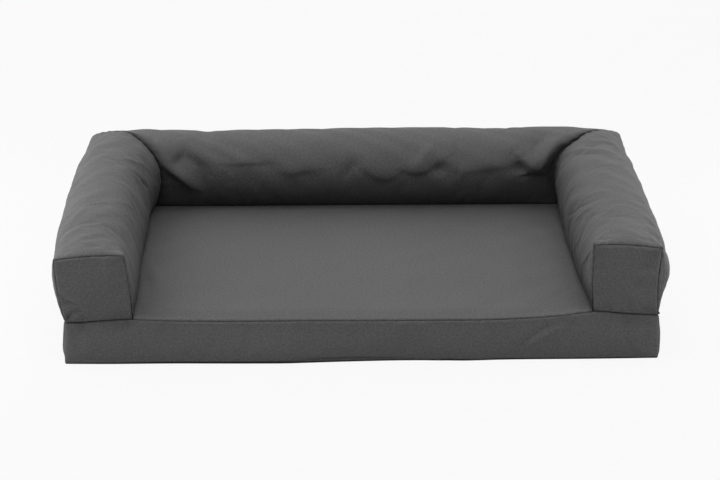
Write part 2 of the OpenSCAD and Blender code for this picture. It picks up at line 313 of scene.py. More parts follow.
def arm_point(side, turn, share):
    """Point of an arm, by its turn round the section and its share of the length from the front."""
    turn, share = np.broadcast_arrays(np.asarray(turn, float), np.asarray(share, float))
    length = 2 * HALF_D - FOOT / 2
    from_front = share * length
    from_mitre = (1 - share) * length
    front = (1 - ease(from_front / FRONT_REACH))[..., None]
    mitre = mitre_share(from_mitre)[..., None]
    p = (
        front * front_section(side, turn, from_front)
        + mitre * mitre_section(side, turn)
        + (1 - front - mitre) * through(MIDDLES[side], turn)
    )
    y_end = HALF_D - mitre_section(side, turn)[..., 0]
    y = -HALF_D + share * (y_end + HALF_D)
    late = ease((turn - INNER_FROM) / INNER_OVER) * ease(from_mitre / INNER_FADE)
    early = np.sin(np.pi * np.clip(turn / INNER_FROM, 0, 1)) * ease(from_mitre / OUTER_FADE)
    sway = through(INNER_SWAY[side], y)[..., 0] * late - through(OUTER_SWAY[side], y)[..., 0] * early
    p = p + np.stack([sway, np.zeros_like(sway)], axis=-1)
    sign = -1 if side == "left" else 1
    return np.stack([sign * (HALF_W - p[..., 0]), y, BASE_H + p[..., 1]], axis=-1)


# Height of the back bolster's top above its plain round section, along the bed: (x, rise)
BACK_TOP_RISE = [
    (-381, 0), (-270, -2), (-215, -4), (-150, -3), (-80, -2.5), (0, -1), (150, -1.5), (215, -3),
    (250, -1), (381, -1),
]


def back_point(turn, share):
    """Point of the back bolster, by its turn and its share of the length from the left corner."""
    turn, share = np.broadcast_arrays(np.asarray(turn, float), np.asarray(share, float))
    length = 2 * HALF_W - FOOT
    left = mitre_share(share * length)[..., None]
    right = mitre_share((1 - share) * length)[..., None]
    p = (
        left * mitre_section("left", turn)
        + right * mitre_section("right", turn)
        + (1 - left - right) * round_section(turn)
    )
    x_left = mitre_section("left", turn)[..., 0] - HALF_W
    x_right = HALF_W - mitre_section("right", turn)[..., 0]
    x = x_left + share * (x_right - x_left)
    rise = through(BACK_TOP_RISE, x)[..., 0] * np.sin(np.pi * turn / 3) ** 2
    return np.stack([x, HALF_D - p[..., 0], BASE_H + p[..., 1] + rise], axis=-1)


# Height of the front top seam along the bed: (x, z)
FRONT_SEAM = [
    (-378, 53.8), (-335, 56.2), (-292, 58.6), (-258, 56.9), (-207, 55.5), (-143, 55), (-80, 55.2),
    (-3, 54.6), (99, 54.5), (150, 54.5), (201, 56), (252, 59.5), (293.4, 64.6), (335, 61.5), (378.7, 58.4),
]


def seam_point(x):
    x = np.asarray(x, float)
    return np.stack([x, np.full_like(x, -HALF_D), through(FRONT_SEAM, x)[..., 0]], axis=-1)


# The base's upright corners are rounded: radius, and how much of it at each height
CORNER_RADIUS = 5
CORNER_SHARES = [(0, 1), (BASE_H - 10, 1), (BASE_H, 0.3), (BASE_H + 11, 0)]

# The seam with the underside stands a little above the floor, and higher at the front: (x, rise)
UNDER_LIFT = 2.2
UNDER_RISE = [
    (-381, -1), (-330, -0.6), (-250, 0.5), (-150, 1), (-95, 1.2), (-60, 0), (-20, -0.4), (40, -0.5),
    (84, -0.5), (98, -0.4), (108, 0.4), (118, 0.3), (134, -0.3), (170, -0.4), (270, -0.6), (381, -0.8),
]
# How far the foot of the front stands forward of the plain edge: (x, forward). It fades out towards the
# top seam, below which it has ended, and along the sides.
FORWARD_BELOW_SEAM = 6
FORWARD_FADE = 60
FRONT_FORWARD = [
    (-381, 7), (-340, 8.5), (-250, 9.5), (-150, 12), (-95, 12.5), (-60, 9.5), (0, 6), (70, 4.5), (130, 7),
    (170, 5), (300, 4), (381, 2.5),
]


def corners_rounded(grid, radius=CORNER_RADIUS, shares=CORNER_SHARES):
    """The surface with the base's upright corners rounded."""
    beyond = np.abs(grid[..., :2]) - (np.array([HALF_W, HALF_D]) - radius)
    both = np.all(beyond > 0, axis=-1)
    scale = beyond.max(axis=-1) / np.maximum(np.hypot(beyond[..., 0], beyond[..., 1]), TINY)
    share = np.interp(grid[..., 2], *np.array(shares).T)
    scale = np.where(both, 1 + (scale - 1) * share, 1)[..., None]
    plan = np.sign(grid[..., :2]) * (np.abs(grid[..., :2]) + (scale - 1) * beyond)
    return np.concatenate([plan, grid[..., 2:]], axis=-1)


def front_forward(x, z):
    """How far the front of the base stands forward, most at its foot."""
    return through(FRONT_FORWARD, x)[..., 0] * (1 - ease(z / (BASE_H - FORWARD_BELOW_SEAM)))


def under_height(x, y):
    """Height of the seam between a side and the underside."""
    rise = through(UNDER_RISE, x)[..., 0]
    return UNDER_LIFT + np.where(np.asarray(y) < 0, rise, 0)


def lerp(a, b, t):
    return a + (b - a) * t[..., None]


def patch_between(low, high, left, right, across, along):
    """Surface stretched between four edges, as points of shape (along, across)."""
    a, b = across[None, :], along[:, None]
    corners = lerp(lerp(low[0], low[-1], a), lerp(high[0], high[-1], a), b)
    return lerp(low[None, :], high[None, :], b) + lerp(left[:, None], right[:, None], a) - corners


def swell(x, roll):
    return np.sin(np.pi / 2 * np.clip(x / roll, 0, 1))


# Panels. Each makes a grid of points (along, across), where its shares run from 0 to 1.
# The sleeping panel's crown rises over these distances; a puff has a height and a fullness, which is
# the power of its sine.

FRONT_ROLL = 30
SIDE_ROLL = 100
PANEL_PUFF, PANEL_FULLNESS = 3.5, 0.7
BAND_PUFF, BAND_FULLNESS = 2.5, 0.8
ZIP_SIDE_PUFF, ZIP_SIDE_FULLNESS = 1.6, 1.5
PUFF_FADE = 14


def arm_panel(side, turns, shares):
    return arm_point(side, turns[None, :], shares[:, None])


def back_panel(turns, shares):
    return back_point(turns[None, :], shares[:, None])


def sleep_panel(across, along):
    x_left = arm_point("left", 3, 0)[0]
    x_right = arm_point("right", 3, 0)[0]
    grid = patch_between(
        seam_point(x_left + across * (x_right - x_left)),
        back_point(3, across),
        arm_point("left", 3, along),
        arm_point("right", 3, along),
        across, along,
    )
    width = HALF_W - FOOT
    x, y = grid[..., 0], grid[..., 1]
    sides = swell(width - np.abs(x), SIDE_ROLL) * swell(y + HALF_D, FRONT_ROLL)
    grid[..., 2] += CROWN_H * sides * swell(HALF_D - FOOT - y, SIDE_ROLL)
    return grid


def end_panel(side, across, up):
    """A square front end, from its outer to its inner edge and from the seam up."""
    x_out = arm_point(side, 0, 0)[0]
    x_in = arm_point(side, 3, 0)[0]
    grid = patch_between(
        seam_point(x_out + across * (x_in - x_out)),
        arm_point(side, 1 + across, 0),
        arm_point(side, up, 0),
        arm_point(side, 3 - up, 0),
        across, up,
    )
    puff = PANEL_PUFF * np.sin(np.pi * across)[None, :] ** PANEL_FULLNESS * np.sin(np.pi * up)[:, None]
    grid[..., 1] -= puff
    return grid


def front_share(y):
    """How much a place takes part in the front's forward bow."""
    return 1 - ease((y + HALF_D) / FORWARD_FADE)


def band(top, out, up):
    """A side of the base below the given top edge, puffed out a little."""
    below = top.copy()
    reach = np.maximum(np.abs(top[:, 0]).max(), 1)
    if out[0] == 0:
        below[:, 0] = top[:, 0] * HALF_W / reach
        below[:, 1] = out[1] * HALF_D
        from_corner = HALF_W - np.abs(below[:, 0])
    else:
        below[:, 0] = out[0] * HALF_W
        below[:, 1] = top[:, 1]
        from_corner = HALF_D - np.abs(below[:, 1])
    below[:, 2] = under_height(below[:, 0], below[:, 1])
    grid = lerp(below[None, :], top[None, :], up[:, None])
    grid[..., 1] -= front_forward(grid[..., 0], grid[..., 2]) * front_share(grid[..., 1])
    puff = BAND_PUFF * np.sin(np.pi * up) ** BAND_FULLNESS
    if out[1] > 0:
        puff = ZIP_SIDE_PUFF * np.abs(np.sin(2 * np.pi * up)) ** ZIP_SIDE_FULLNESS
    puff = puff[:, None] * swell(from_corner, PUFF_FADE)[None, :]
    return grid + puff[..., None] * np.array([out[0], out[1], 0])


def underside(across, along):
    """The bottom of the base, turned up at its rim."""
    x = (2 * across - 1) * HALF_W
    y = (2 * along - 1) * HALF_D
    x, y = np.meshgrid(x, y)
    rim = np.minimum(HALF_W - np.abs(x), HALF_D - np.abs(y))
    z = rounded_off(rim, under_height(x, y))
    y = y - front_forward(x, z) * front_share(y)
    return np.stack([x, y, z], axis=-1)


# Coarse steps of each panel, in cells of about 7 mm, and how finely the finished cloth divides them

ALONG_CELLS = 64
BACK_CELLS = 84
END_CELLS = 13
RISE_CELLS = 12
BAND_CELLS = 8
FINE = {
    "sleep_panel": (2, 2), "bottom_panel": (1, 1), "left_arm_wrap": (4, 4), "right_arm_wrap": (4, 4),
    "back_wrap": (3, 4), "front_band": (5, 3),
}
USUAL_FINE = (3, 3)
NEAR_STEPS = np.array([0.08, 0.17, 0.28, 0.42, 0.6, 0.8])


def cells(n):
    return np.linspace(0, 1, n + 1)


def joined(*parts):
    return np.concatenate([parts[0]] + [part[1:] for part in parts[1:]])


def divided(knots, fine, more=()):
    """Each step between knots divided evenly, with closer steps near the first and the last knot."""
    n = len(knots) - 1
    inner = np.concatenate([i + np.arange(fine) / fine for i in range(1, n - 1)])
    place = np.concatenate([[0], NEAR_STEPS, inner, [n - 1], n - NEAR_STEPS[::-1], [n], more])
    place = np.unique(np.round(place, 6))
    return np.interp(place, np.arange(n + 1), knots), place


ALONG_KNOTS, BACK_KNOTS, END_KNOTS = cells(ALONG_CELLS), cells(BACK_CELLS), cells(END_CELLS)
RISE_KNOTS, BAND_KNOTS = cells(RISE_CELLS), cells(BAND_CELLS)
TURN_KNOTS = joined(RISE_KNOTS, 1 + END_KNOTS, 2 + RISE_KNOTS)
X_OUT = abs(arm_point("left", 0, 0)[0])
X_IN = [arm_point(side, 3, 0)[0] for side in ("left", "right")]
FRONT_KNOTS = joined(
    np.linspace(-X_OUT, X_IN[0], END_CELLS + 1),
    np.linspace(X_IN[0], X_IN[1], BACK_CELLS + 1),
    np.linspace(X_IN[1], X_OUT, END_CELLS + 1),
)

# Each panel: its shape, and its knots along and across
PANELS = {
    "left_arm_wrap": (lambda v, u: arm_panel("left", u, v), ALONG_KNOTS, TURN_KNOTS),
    "right_arm_wrap": (lambda v, u: arm_panel("right", u, v), ALONG_KNOTS, TURN_KNOTS),
    "back_wrap": (lambda v, u: back_panel(u, v), BACK_KNOTS, TURN_KNOTS),
    "sleep_panel": (lambda v, u: sleep_panel(u, v), ALONG_KNOTS, BACK_KNOTS),
    "left_arm_end": (lambda v, u: end_panel("left", u, v), RISE_KNOTS, END_KNOTS),
    "right_arm_end": (lambda v, u: end_panel("right", u, v), RISE_KNOTS, END_KNOTS),
    "front_band": (lambda v, u: band(seam_point(u), (0, -1), v), BAND_KNOTS, FRONT_KNOTS),
    "left_band": (lambda v, u: band(arm_point("left", 0, u), (-1, 0), v), BAND_KNOTS, ALONG_KNOTS),
    "right_band": (lambda v, u: band(arm_point("right", 0, u), (1, 0), v), BAND_KNOTS, ALONG_KNOTS),
    "rear_band": (lambda v, u: band(back_point(0, u), (0, 1), v), BAND_KNOTS, BACK_KNOTS),
    "bottom_panel": (lambda v, u: underside(u, v), ALONG_KNOTS, BACK_KNOTS),
}
ROLLS = ("left_arm_wrap", "right_arm_wrap", "back_wrap")


def crossed(grid):
    """The cross product of a grid's two directions at each point."""
    return np.cross(np.gradient(grid, axis=0), np.gradient(grid, axis=1))


def normals(grid, panel):
    """Unit normals of a grid of points, pointing out of the bed."""
    n = unit(crossed(grid))
    inside = grid.reshape(-1, 3).mean(axis=0) if panel in ROLLS else np.array([0, 0, BASE_H / 2])
    outward = ((grid - inside) * n).sum()
    return n if outward > 0 else -n


def faces_out(grid, panel):
    """Whether a quad that runs along and then across turns its front outwards."""
    return (crossed(grid) * normals(grid, panel)).sum() > 0


def quads(rows, columns, out):
    """Corner numbers of a grid's faces."""
    at = np.arange(rows * columns).reshape(rows, columns)
    faces = np.stack([at[:-1, :-1], at[1:, :-1], at[1:, 1:], at[:-1, 1:]], axis=-1).reshape(-1, 4)
    return faces if out else faces[:, ::-1]


# Cloth simulation of the whole cover, held at its seams, for the small folds of a stuffed cover

SIM_FRAMES = 20
SIM_PRESSURE = 4
SIM_SLACK = 0.03
SIM_CAP = 7


def held_rim(shape):
    rim = np.zeros(shape, dtype=bool)
    rim[0] = rim[-1] = True
    rim[:, 0] = rim[:, -1] = True
    return rim


def simulated_folds():
    """For each panel, how far its coarse points move when the cover is blown up."""
    grids = {name: corners_rounded(make(v, u)) for name, (make, v, u) in PANELS.items()}
    grids.pop("bottom_panel")
    points = np.concatenate([grid.reshape(-1, 3) for grid in grids.values()])
    rims = np.concatenate([held_rim(grid.shape[:2]).ravel() for grid in grids.values()])
    faces, start = [], 0
    for name, grid in grids.items():
        rows, columns = grid.shape[:2]
        faces.append(start + quads(rows, columns, faces_out(grid, name)))
        start += rows * columns
    mesh = bpy.data.meshes.new("cover_skin")
    mesh.from_pydata((points * MM).tolist(), [], np.concatenate(faces).tolist())
    skin = blank_object("cover_skin", mesh)
    held = skin.vertex_groups.new(name="held")
    held.add(np.flatnonzero(rims).tolist(), 1.0, "REPLACE")
    cloth = skin.modifiers.new("Cloth", "CLOTH")
    settings = cloth.settings
    settings.quality = 6
    settings.use_pressure = True
    settings.uniform_pressure_force = SIM_PRESSURE
    settings.shrink_min = -SIM_SLACK
    settings.vertex_group_mass = "held"
    settings.pin_stiffness = 1
    settings.effector_weights.gravity = 0
    cloth.collision_settings.use_collision = False
    cloth.collision_settings.use_self_collision = False
    cloth.point_cache.frame_start = 1
    cloth.point_cache.frame_end = SIM_FRAMES
    for number in range(1, SIM_FRAMES + 1):
        bpy.context.scene.frame_set(number)
    result = skin.evaluated_get(bpy.context.evaluated_depsgraph_get()).to_mesh()
    moved = np.empty(len(result.vertices) * 3)
    result.vertices.foreach_get("co", moved)
    shift = moved.reshape(-1, 3) / MM - points
    bpy.context.scene.frame_set(1)
    bpy.data.objects.remove(skin)
    size = np.linalg.norm(shift, axis=1, keepdims=True)
    shift *= np.minimum(1, SIM_CAP / np.maximum(size, TINY))
    folds, start = {}, 0
    for name, grid in grids.items():
        count = grid.shape[0] * grid.shape[1]
        folds[name] = shift[start:start + count].reshape(grid.shape)
        start += count
    return folds


def blurred(grid, cells_wide):
    """The grid smoothed over its cells, with its rim kept."""
    reach = int(3 * cells_wide)
    kernel = smoothing(np.arange(-reach, reach + 1) / cells_wide)
    for axis in (0, 1):
        pad = [(0, 0)] * 3
        pad[axis] = (reach, reach)
        if grid.shape[axis] > reach:
            wide = np.pad(grid, pad, mode="reflect", reflect_type="odd")
        else:
            wide = np.pad(grid, pad, mode="edge")
        grid = np.apply_along_axis(lambda line: np.convolve(line, kernel, mode="valid"), axis, wide)
    return grid


def resampled(grid, rows, columns):
    """A coarse grid read at fractional rows and columns."""
    m, n, k = grid.shape
    tall = through(np.column_stack([np.arange(m), grid.reshape(m, -1)]), rows).reshape(len(rows), n, k)
    side = tall.transpose(1, 0, 2).reshape(n, -1)
    wide = through(np.column_stack([np.arange(n), side]), columns)
    return wide.reshape(len(columns), len(rows), k).transpose(1, 0, 2)


# Seams. Each edge of a panel, in the order first row, last row, first column, last column.

EDGES = {
    **dict.fromkeys(ROLLS, ("seam", "seam", "foot", "inner")),
    **dict.fromkeys(("left_arm_end", "right_arm_end"), ("seam",) * 4),
    **dict.fromkeys(("left_band", "right_band", "rear_band"), ("under", "foot", "corner", "corner")),
    "front_band": ("under", "seam", "corner", "corner"),
    "sleep_panel": ("seam", "inner", "inner", "inner"),
    "bottom_panel": ("under",) * 4,
}
# Each kind of seam: how deep and how wide its groove is, and the height of the ridge beside it
SEAMS = {
    "seam": (1.9, 1.3, 0.35), "foot": (1.7, 1.5, 0.2), "inner": (1.5, 1.9, 0), "under": (0.5, 1.2, 0),
    "corner": (0.3, 1.5, 0.1),
}
SEAM_RIDGE_AT = 4.2
SEAM_RIDGE_WIDTH = 2.0
SEAM_TURN_REACH = 6
SEAM_MEET = 1.5
PUCKER = 0.35
PUCKER_REACH = 9
PUCKER_LENGTH = 17


def edge_distances(grid):
    """Distance of each point from each of the four edges, along the cloth."""
    result = []
    for axis in (0, 1):
        step = np.linalg.norm(np.diff(grid, axis=axis), axis=-1)
        run = np.insert(np.cumsum(step, axis=axis), 0, 0, axis=axis)
        total = run.take([-1], axis=axis)
        result += [run, total - run]
    return result


def wander(x, length, seed):
    """A smooth line that wanders between about -1 and 1, with waves of about the given length."""
    rng = np.random.default_rng(seed)
    total = np.zeros_like(x)
    for _ in range(5):
        rate, phase = rng.uniform(0.6, 1.7) / length, rng.uniform(0, 2 * math.pi)
        total += np.sin(2 * math.pi * rate * x + phase)
    return total / 2.5


def rounded_off(distance, radius):
    """How far an edge of that radius falls back, at a distance from it along the cloth."""
    near = np.clip(radius - distance, 0, radius)
    return radius - np.sqrt(radius * radius - near * near)


def four_edges(grid):
    return grid[0], grid[-1], grid[:, 0], grid[:, -1]


def seam_directions(surfaces):
    """For each panel's edges, the mean normal of all the panels that meet there, point by point."""
    lines, ups, owners = [], [], []
    for panel, grid in surfaces.items():
        for line, up in zip(four_edges(grid), four_edges(normals(grid, panel))):
            lines.append(line)
            ups.append(up)
            owners += [panel] * len(line)
    points, up = np.concatenate(lines), np.concatenate(ups)
    tree = KDTree(len(points))
    for i, point in enumerate(points):
        tree.insert(point, i)
    tree.balance()
    mean = np.zeros_like(up)
    for i, point in enumerate(points):
        nearest = {}
        for _, j, gap in tree.find_range(point, SEAM_MEET):
            if gap < nearest.get(owners[j], (np.inf, 0))[0]:
                nearest[owners[j]] = (gap, j)
        mean[i] = sum(up[j] for _, j in nearest.values())
    mean = unit(mean)
    result, at = {}, 0
    for panel, grid in surfaces.items():
        result[panel] = []
        for line in four_edges(grid):
            result[panel].append(mean[at:at + len(line)])
            at += len(line)
    return result


def sewn(panel, grid, directions):
    """The surface with the grooves, ridges and puckers of the seams at its edges."""
    own = normals(grid, panel)
    distances = edge_distances(grid)
    result = grid.copy()
    for k, kind in enumerate(EDGES[panel]):
        dip, width, ridge = SEAMS[kind]
        d = distances[k]
        run = distances[2 if k < 2 else 0]
        shared = directions[k][None, :] if k < 2 else directions[k][:, None]
        share = ease(d / SEAM_TURN_REACH)[..., None]
        way = unit(shared * (1 - share) + own * share)
        height = ridge * bell(d - SEAM_RIDGE_AT, SEAM_RIDGE_WIDTH) - dip * bell(d, width)
        if kind in ("seam", "foot") or (kind == "inner" and panel in ROLLS):
            seed = seed_of(panel, 10) + k
            fade = np.exp(-d / PUCKER_REACH) * (1 - bell(d, width))
            height += 2 * PUCKER * fade * wander(run, PUCKER_LENGTH, seed)
        result += height[..., None] * way
    return result


# Folds that the photograph shows, by panel: how far the fold reaches on its one and its other side in
# pixels, its height in millimetres, and the line that it follows in pixels of the photograph. The
# second reach is below a line that runs to the right. A height below zero is a crease.

FOLDS = {
    "back_wrap": [
        # left rear corner: the chin over the undercut, the dent beside it, the lobe at the seam
        ((6, 2.5), 8, [(161, 163), (170, 171), (180, 177.5), (188, 183.5), (194, 188)]),
        ((6, 10), -6, [(176, 166), (181, 159), (187, 157), (194, 162), (206, 170)]),
        ((2.5, 2.5), -2.5, [(185, 149), (180, 156), (174, 165)]),
        ((6, 6), -4, [(199, 168), (201, 180), (205, 190)]),
        ((7, 7), 4, [(153, 139), (161, 151), (168, 164)]),
        ((3, 3), -1.2, [(153, 134), (154, 151)]),
        ((3, 3), 1.0, [(174, 144), (183, 141), (193, 137)]),
        ((1.6, 1.6), 0.6, [(161, 150), (167, 162)]),
        # right rear corner: the flap's edge, its tip and the gap between it and the arm
        ((2.4, 12), 13, [(568, 143), (560, 146.5), (552, 156), (546, 163), (540, 168.5), (534, 171)]),
        ((2.5, 9), 9, [(536, 171), (529, 167), (521, 160)]),
        ((7, 7), -7, [(521, 160), (521, 174)]),
        ((5, 5), 1.5, [(515, 176), (528, 181)]),
        ((6, 6), -12, [(564, 147.5), (555, 162), (549, 178), (550, 196)]),
        ((3, 3), 3, [(544, 184), (548, 198)]),
        ((5, 5), -2, [(542, 137), (536, 148), (532, 159)]),
        ((3, 3), 0.8, [(526, 130), (545, 132)]),
        # the back's uneven turn into its shade
        ((8, 2), 1.8, [(226, 164), (238, 163.5), (250, 163), (264, 162)]),
        ((2, 4), -0.8, [(253, 166), (270, 165.5), (283, 166)]),
        ((9, 3.5), 2.4, [(280, 170), (292, 172.5), (305, 170), (318, 169)]),
        ((6, 6), -3.2, [(356, 162), (349, 171), (345, 181)]),
        ((10, 3.5), 3.3, [(362, 166), (375, 176), (386, 178), (396, 174)]),
        ((6, 6), 3.4, [(433, 146), (425, 156), (418, 165), (415, 170)]),
        ((9, 3), 3.6, [(404, 170), (417, 172), (426, 170), (434, 164), (443, 159)]),
        ((6, 6), -3.2, [(431, 168), (448, 170)]),
        ((9, 3.5), 2.2, [(462, 171), (480, 169), (500, 166), (514, 163)]),
    ],
    "left_arm_wrap": [
        # wrinkles across the left arm
        ((1.05, 1.54), 1.8, [(118, 158), (130, 160), (140, 163.5), (148, 169), (153, 177)]),
        ((0.98, 1.4), 1.1, [(129, 151), (140, 155), (148, 160)]),
        ((1.26, 1.26), -1.8, [(131, 171), (138, 176), (143, 181), (148, 188)]),
        ((0.91, 0.91), -2.2, [(142, 180), (147, 187)]),
        ((1.4, 1.4), 1, [(110, 180), (121, 183), (128, 188)]),
        ((1.4, 1.4), 1, [(116, 201), (127, 204), (137, 212)]),
        ((1.4, 1.4), 1, [(110, 208), (120, 212), (130, 219)]),
        ((2.62, 2.62), 1.95, [(87, 155), (94, 149), (105, 143)]),
        ((2.25, 2.25), 1.2, [(82, 170), (90, 163), (99, 159)]),
        ((2.25, 2.25), 1.2, [(78, 189), (88, 182), (98, 178)]),
        ((2.25, 2.25), 1.2, [(71, 207), (80, 199), (90, 196)]),
        ((2.25, 2.25), 1.2, [(70, 224), (77, 215), (85, 209)]),
        ((3, 3), 2.1, [(59, 246), (66, 238), (79, 228)]),
        ((1.75, 1.75), 1.8, [(55, 254), (60, 246), (67, 239)]),
        ((0.91, 1.05), 2.2, [(110, 240), (117, 247), (124.5, 255)]),
        ((0.84, 0.84), 1, [(125, 256), (128, 264)]),
    ],
    "right_arm_wrap": [
        # wrinkles across the right arm
        ((1.75, 1.75), 2.2, [(601, 139), (613, 145), (623, 153)]),
        ((2.25, 2.25), 1.95, [(606, 150), (619, 157), (629, 167)]),
        ((1.75, 1.75), 1.8, [(614, 160), (625, 168), (633, 178)]),
        ((1.4, 1.4), 1.2, [(594, 133), (605, 137), (616, 144)]),
        ((1.75, 1.75), 1.8, [(632, 190), (642, 200), (648, 210)]),
        ((1.54, 1.54), 1.8, [(643, 214), (654, 225), (657, 231)]),
        ((1.4, 1.4), 2.6, [(648, 227), (657, 236), (664, 246)]),
        ((1.12, 1.12), 1.6, [(646, 235), (655, 242), (662, 248)]),
        ((1.4, 1.4), 1.4, [(572, 151), (585, 149.5), (603, 150)]),
        ((1.4, 1.4), -1.6, [(574, 155), (590, 152.8), (608, 154)]),
        ((1.26, 1.26), -1.8, [(569, 216), (580, 207), (590, 202), (603, 197)]),
        ((1.26, 1.26), 1.8, [(576, 220), (585, 211), (596, 205)]),
        ((1.75, 1.75), 1.2, [(581, 200), (596, 193), (608, 191)]),
        ((0.91, 1.05), 2.2, [(592, 246), (599, 239.5), (606, 233)]),
        ((0.91, 0.91), 1.8, [(582, 264), (587, 257), (591.5, 249)]),
        ((0.91, 0.91), 2.4, [(663, 253), (664.5, 268), (663, 284), (660, 300)]),
        ((0.77, 0.77), -1.8, [(665.5, 258), (666, 272), (664, 290)]),
    ],
    "left_arm_end": [
        # pulls at the corners of the square ends
        ((1.2, 1.2), -3.4, [(64.5, 323), (70, 316)]),
        ((2, 2), -3.0, [(66, 318), (73, 312.5), (80, 311)]),
        ((1.6, 1.6), 3.0, [(74, 321), (79, 315), (84, 321)]),
        ((2, 2), -2.4, [(61, 305), (68, 302), (74, 303)]),
        ((3, 2.4), 3.0, [(59, 288), (67, 295), (78, 301), (86, 304)]),
        ((4, 4), 2.0, [(58, 276), (66, 284), (76, 292)]),
    ],
    "right_arm_end": [
        ((1.4, 1.4), -1.0, [(591, 304), (593, 296)]),
        ((2, 2), -1.0, [(594, 251), (595, 264), (593, 276)]),
        ((3, 3), 2.8, [(640, 281), (650, 273), (659, 262)]),
        ((6, 6), -2.4, [(630, 274), (642, 267), (652, 260)]),
        ((1.6, 1.6), -1.4, [(611, 311), (607, 303)]),
    ],
    "front_band": [
        # the front of the base
        ((1.0, 0.9), -3.0, [
            (282, 361.5), (300, 360.2), (320, 359.2), (355, 358.4), (390, 358.4), (415, 359), (438, 360.2),
        ]),
        ((1.4, 1.4), -0.9, [(644, 315), (645, 324)]),
        ((4, 4), 1.8, [(566, 326), (548, 333), (530, 346)]),
        ((2.6, 4), -2.0, [(556, 324), (538, 333), (524, 343), (518, 352)]),
        ((1.6, 1.6), -0.8, [(250, 327), (257, 337), (262, 346)]),
        ((1.6, 1.6), -0.7, [(347, 326), (350, 335), (355, 343)]),
        ((4, 4), 0.6, [(134, 323), (138, 334), (141, 345)]),
    ],
    "sleep_panel": [
        # the sleeping panel beside the arms
        ((5, 5), 1.0, [(150, 262), (158, 280), (160, 300)]),
        ((3, 3), -0.7, [(142, 262), (148, 282), (150, 305)]),
        ((2.5, 2.5), 0.8, [(541, 206.5), (549, 204)]),
    ],
}


# A fold's height runs along half a sine wave, from this far along it, to the power of its fullness
FOLD_START = 0.1
FOLD_FULLNESS = 0.8


def fold_relief(panel, grid):
    """Height of the photographed folds on a panel, on the side that the photograph shows."""
    relief = np.zeros(grid.shape[:2])
    at = photo_pixels(grid)
    sight = unit(CAMERA_AT - grid)
    seen = ease(0.3 + (sight * normals(grid, panel)).sum(axis=-1) / 0.3)
    for reaches, height, line in FOLDS.get(panel, ()):
        line = np.array(line, dtype=float)
        legs = np.linalg.norm(np.diff(line, axis=0), axis=1)
        before = np.concatenate([[0], np.cumsum(legs)])
        best = np.full(grid.shape[:2], np.inf)
        share = np.zeros(grid.shape[:2])
        below = np.zeros(grid.shape[:2], dtype=bool)
        for k, leg in enumerate(legs):
            direction = (line[k + 1] - line[k]) / leg
            offset = at - line[k]
            along = np.clip(offset @ direction, 0, leg)
            gap = np.linalg.norm(offset - along[..., None] * direction, axis=-1)
            closer = gap < best
            best = np.where(closer, gap, best)
            share = np.where(closer, (before[k] + along) / before[-1], share)
            side = direction[0] * offset[..., 1] - direction[1] * offset[..., 0] > 0
            below = np.where(closer, side, below)
        reach = np.where(below, reaches[1], reaches[0])
        taper = np.sin(np.pi * (FOLD_START + (1 - 2 * FOLD_START) * share)) ** FOLD_FULLNESS
        relief += height * taper * bell(best, reach)
    return relief * seen


# Broad unevenness of the stuffing: height and wavelength, in millimetres. It fades out at the edges.
LUMP_FADE = 25
LUMPS = {
    "left_arm_wrap": (0.9, 70), "right_arm_wrap": (0.9, 70), "back_wrap": (1.1, 90),
    "sleep_panel": (0.6, 120), "left_arm_end": (0.5, 45), "right_arm_end": (0.5, 45),
    "front_band": (0.6, 70), "left_band": (0.8, 70), "right_band": (0.8, 70), "rear_band": (0.8, 70),
    "bottom_panel": (0, 90),
}
# How much of the simulated folds each panel shows
SIM_GAINS = {
    "left_arm_wrap": 0.3, "right_arm_wrap": 0.3, "back_wrap": 0.22, "sleep_panel": 0.12,
    "left_arm_end": 0.5, "right_arm_end": 0.5, "front_band": 0.35, "left_band": 0.4, "right_band": 0.4,
    "rear_band": 0.4,
}
SIM_BLUR = 4
SIM_FADE = 5
FOLD_FADE = 4


def lump_relief(panel, grid):
    height, length = LUMPS[panel]
    d = edge_distances(grid)
    seed = seed_of(panel, 3)
    a = wander(d[0] + 0.35 * d[2], length, seed) * wander(d[2] - 0.2 * d[0], 0.8 * length, seed + 1)
    b = wander(0.7 * d[0] - 0.6 * d[2], 0.6 * length, seed + 2)
    near = np.minimum.reduce(d)
    return height * (0.7 * a + 0.3 * b) * ease(near / LUMP_FADE)


# Fine wrinkles across the arms, where the wrap is gathered: height, spacing, and length of their sway
WRINKLE = 0.26
WRINKLE_SPACINGS = (9, 19)
WRINKLE_SWAY = 110
WRINKLE_PATCH = 75
WRINKLE_FADE = 12
# The patches' share of full height, from none to the most: its middle and its swing
WRINKLE_MIDDLE = 0.55
WRINKLE_SWING = 0.6
WRINKLE_MOST = 1.3
# How far the wrinkles wander along the arm, and each spacing's part of the height
WRINKLE_WANDER = 6
WRINKLE_PARTS = (0.5, 0.8)


def wrinkle_relief(panel, grid):
    if panel not in ("left_arm_wrap", "right_arm_wrap"):
        return 0
    d = edge_distances(grid)
    seed = seed_of(panel, 7)
    along = d[0] + WRINKLE_WANDER * wander(d[2], WRINKLE_SWAY, seed)
    patch = WRINKLE_MIDDLE + WRINKLE_SWING * wander(0.5 * d[0] + d[2], WRINKLE_PATCH, seed + 1)
    patch = np.clip(patch, 0, WRINKLE_MOST)
    near = np.minimum.reduce(d)
    waves = [wander(along, spacing, seed + 2 + k) for k, spacing in enumerate(WRINKLE_SPACINGS)]
    waves = sum(part * wave for part, wave in zip(WRINKLE_PARTS, waves))
    return WRINKLE * patch * waves * ease(near / WRINKLE_FADE)
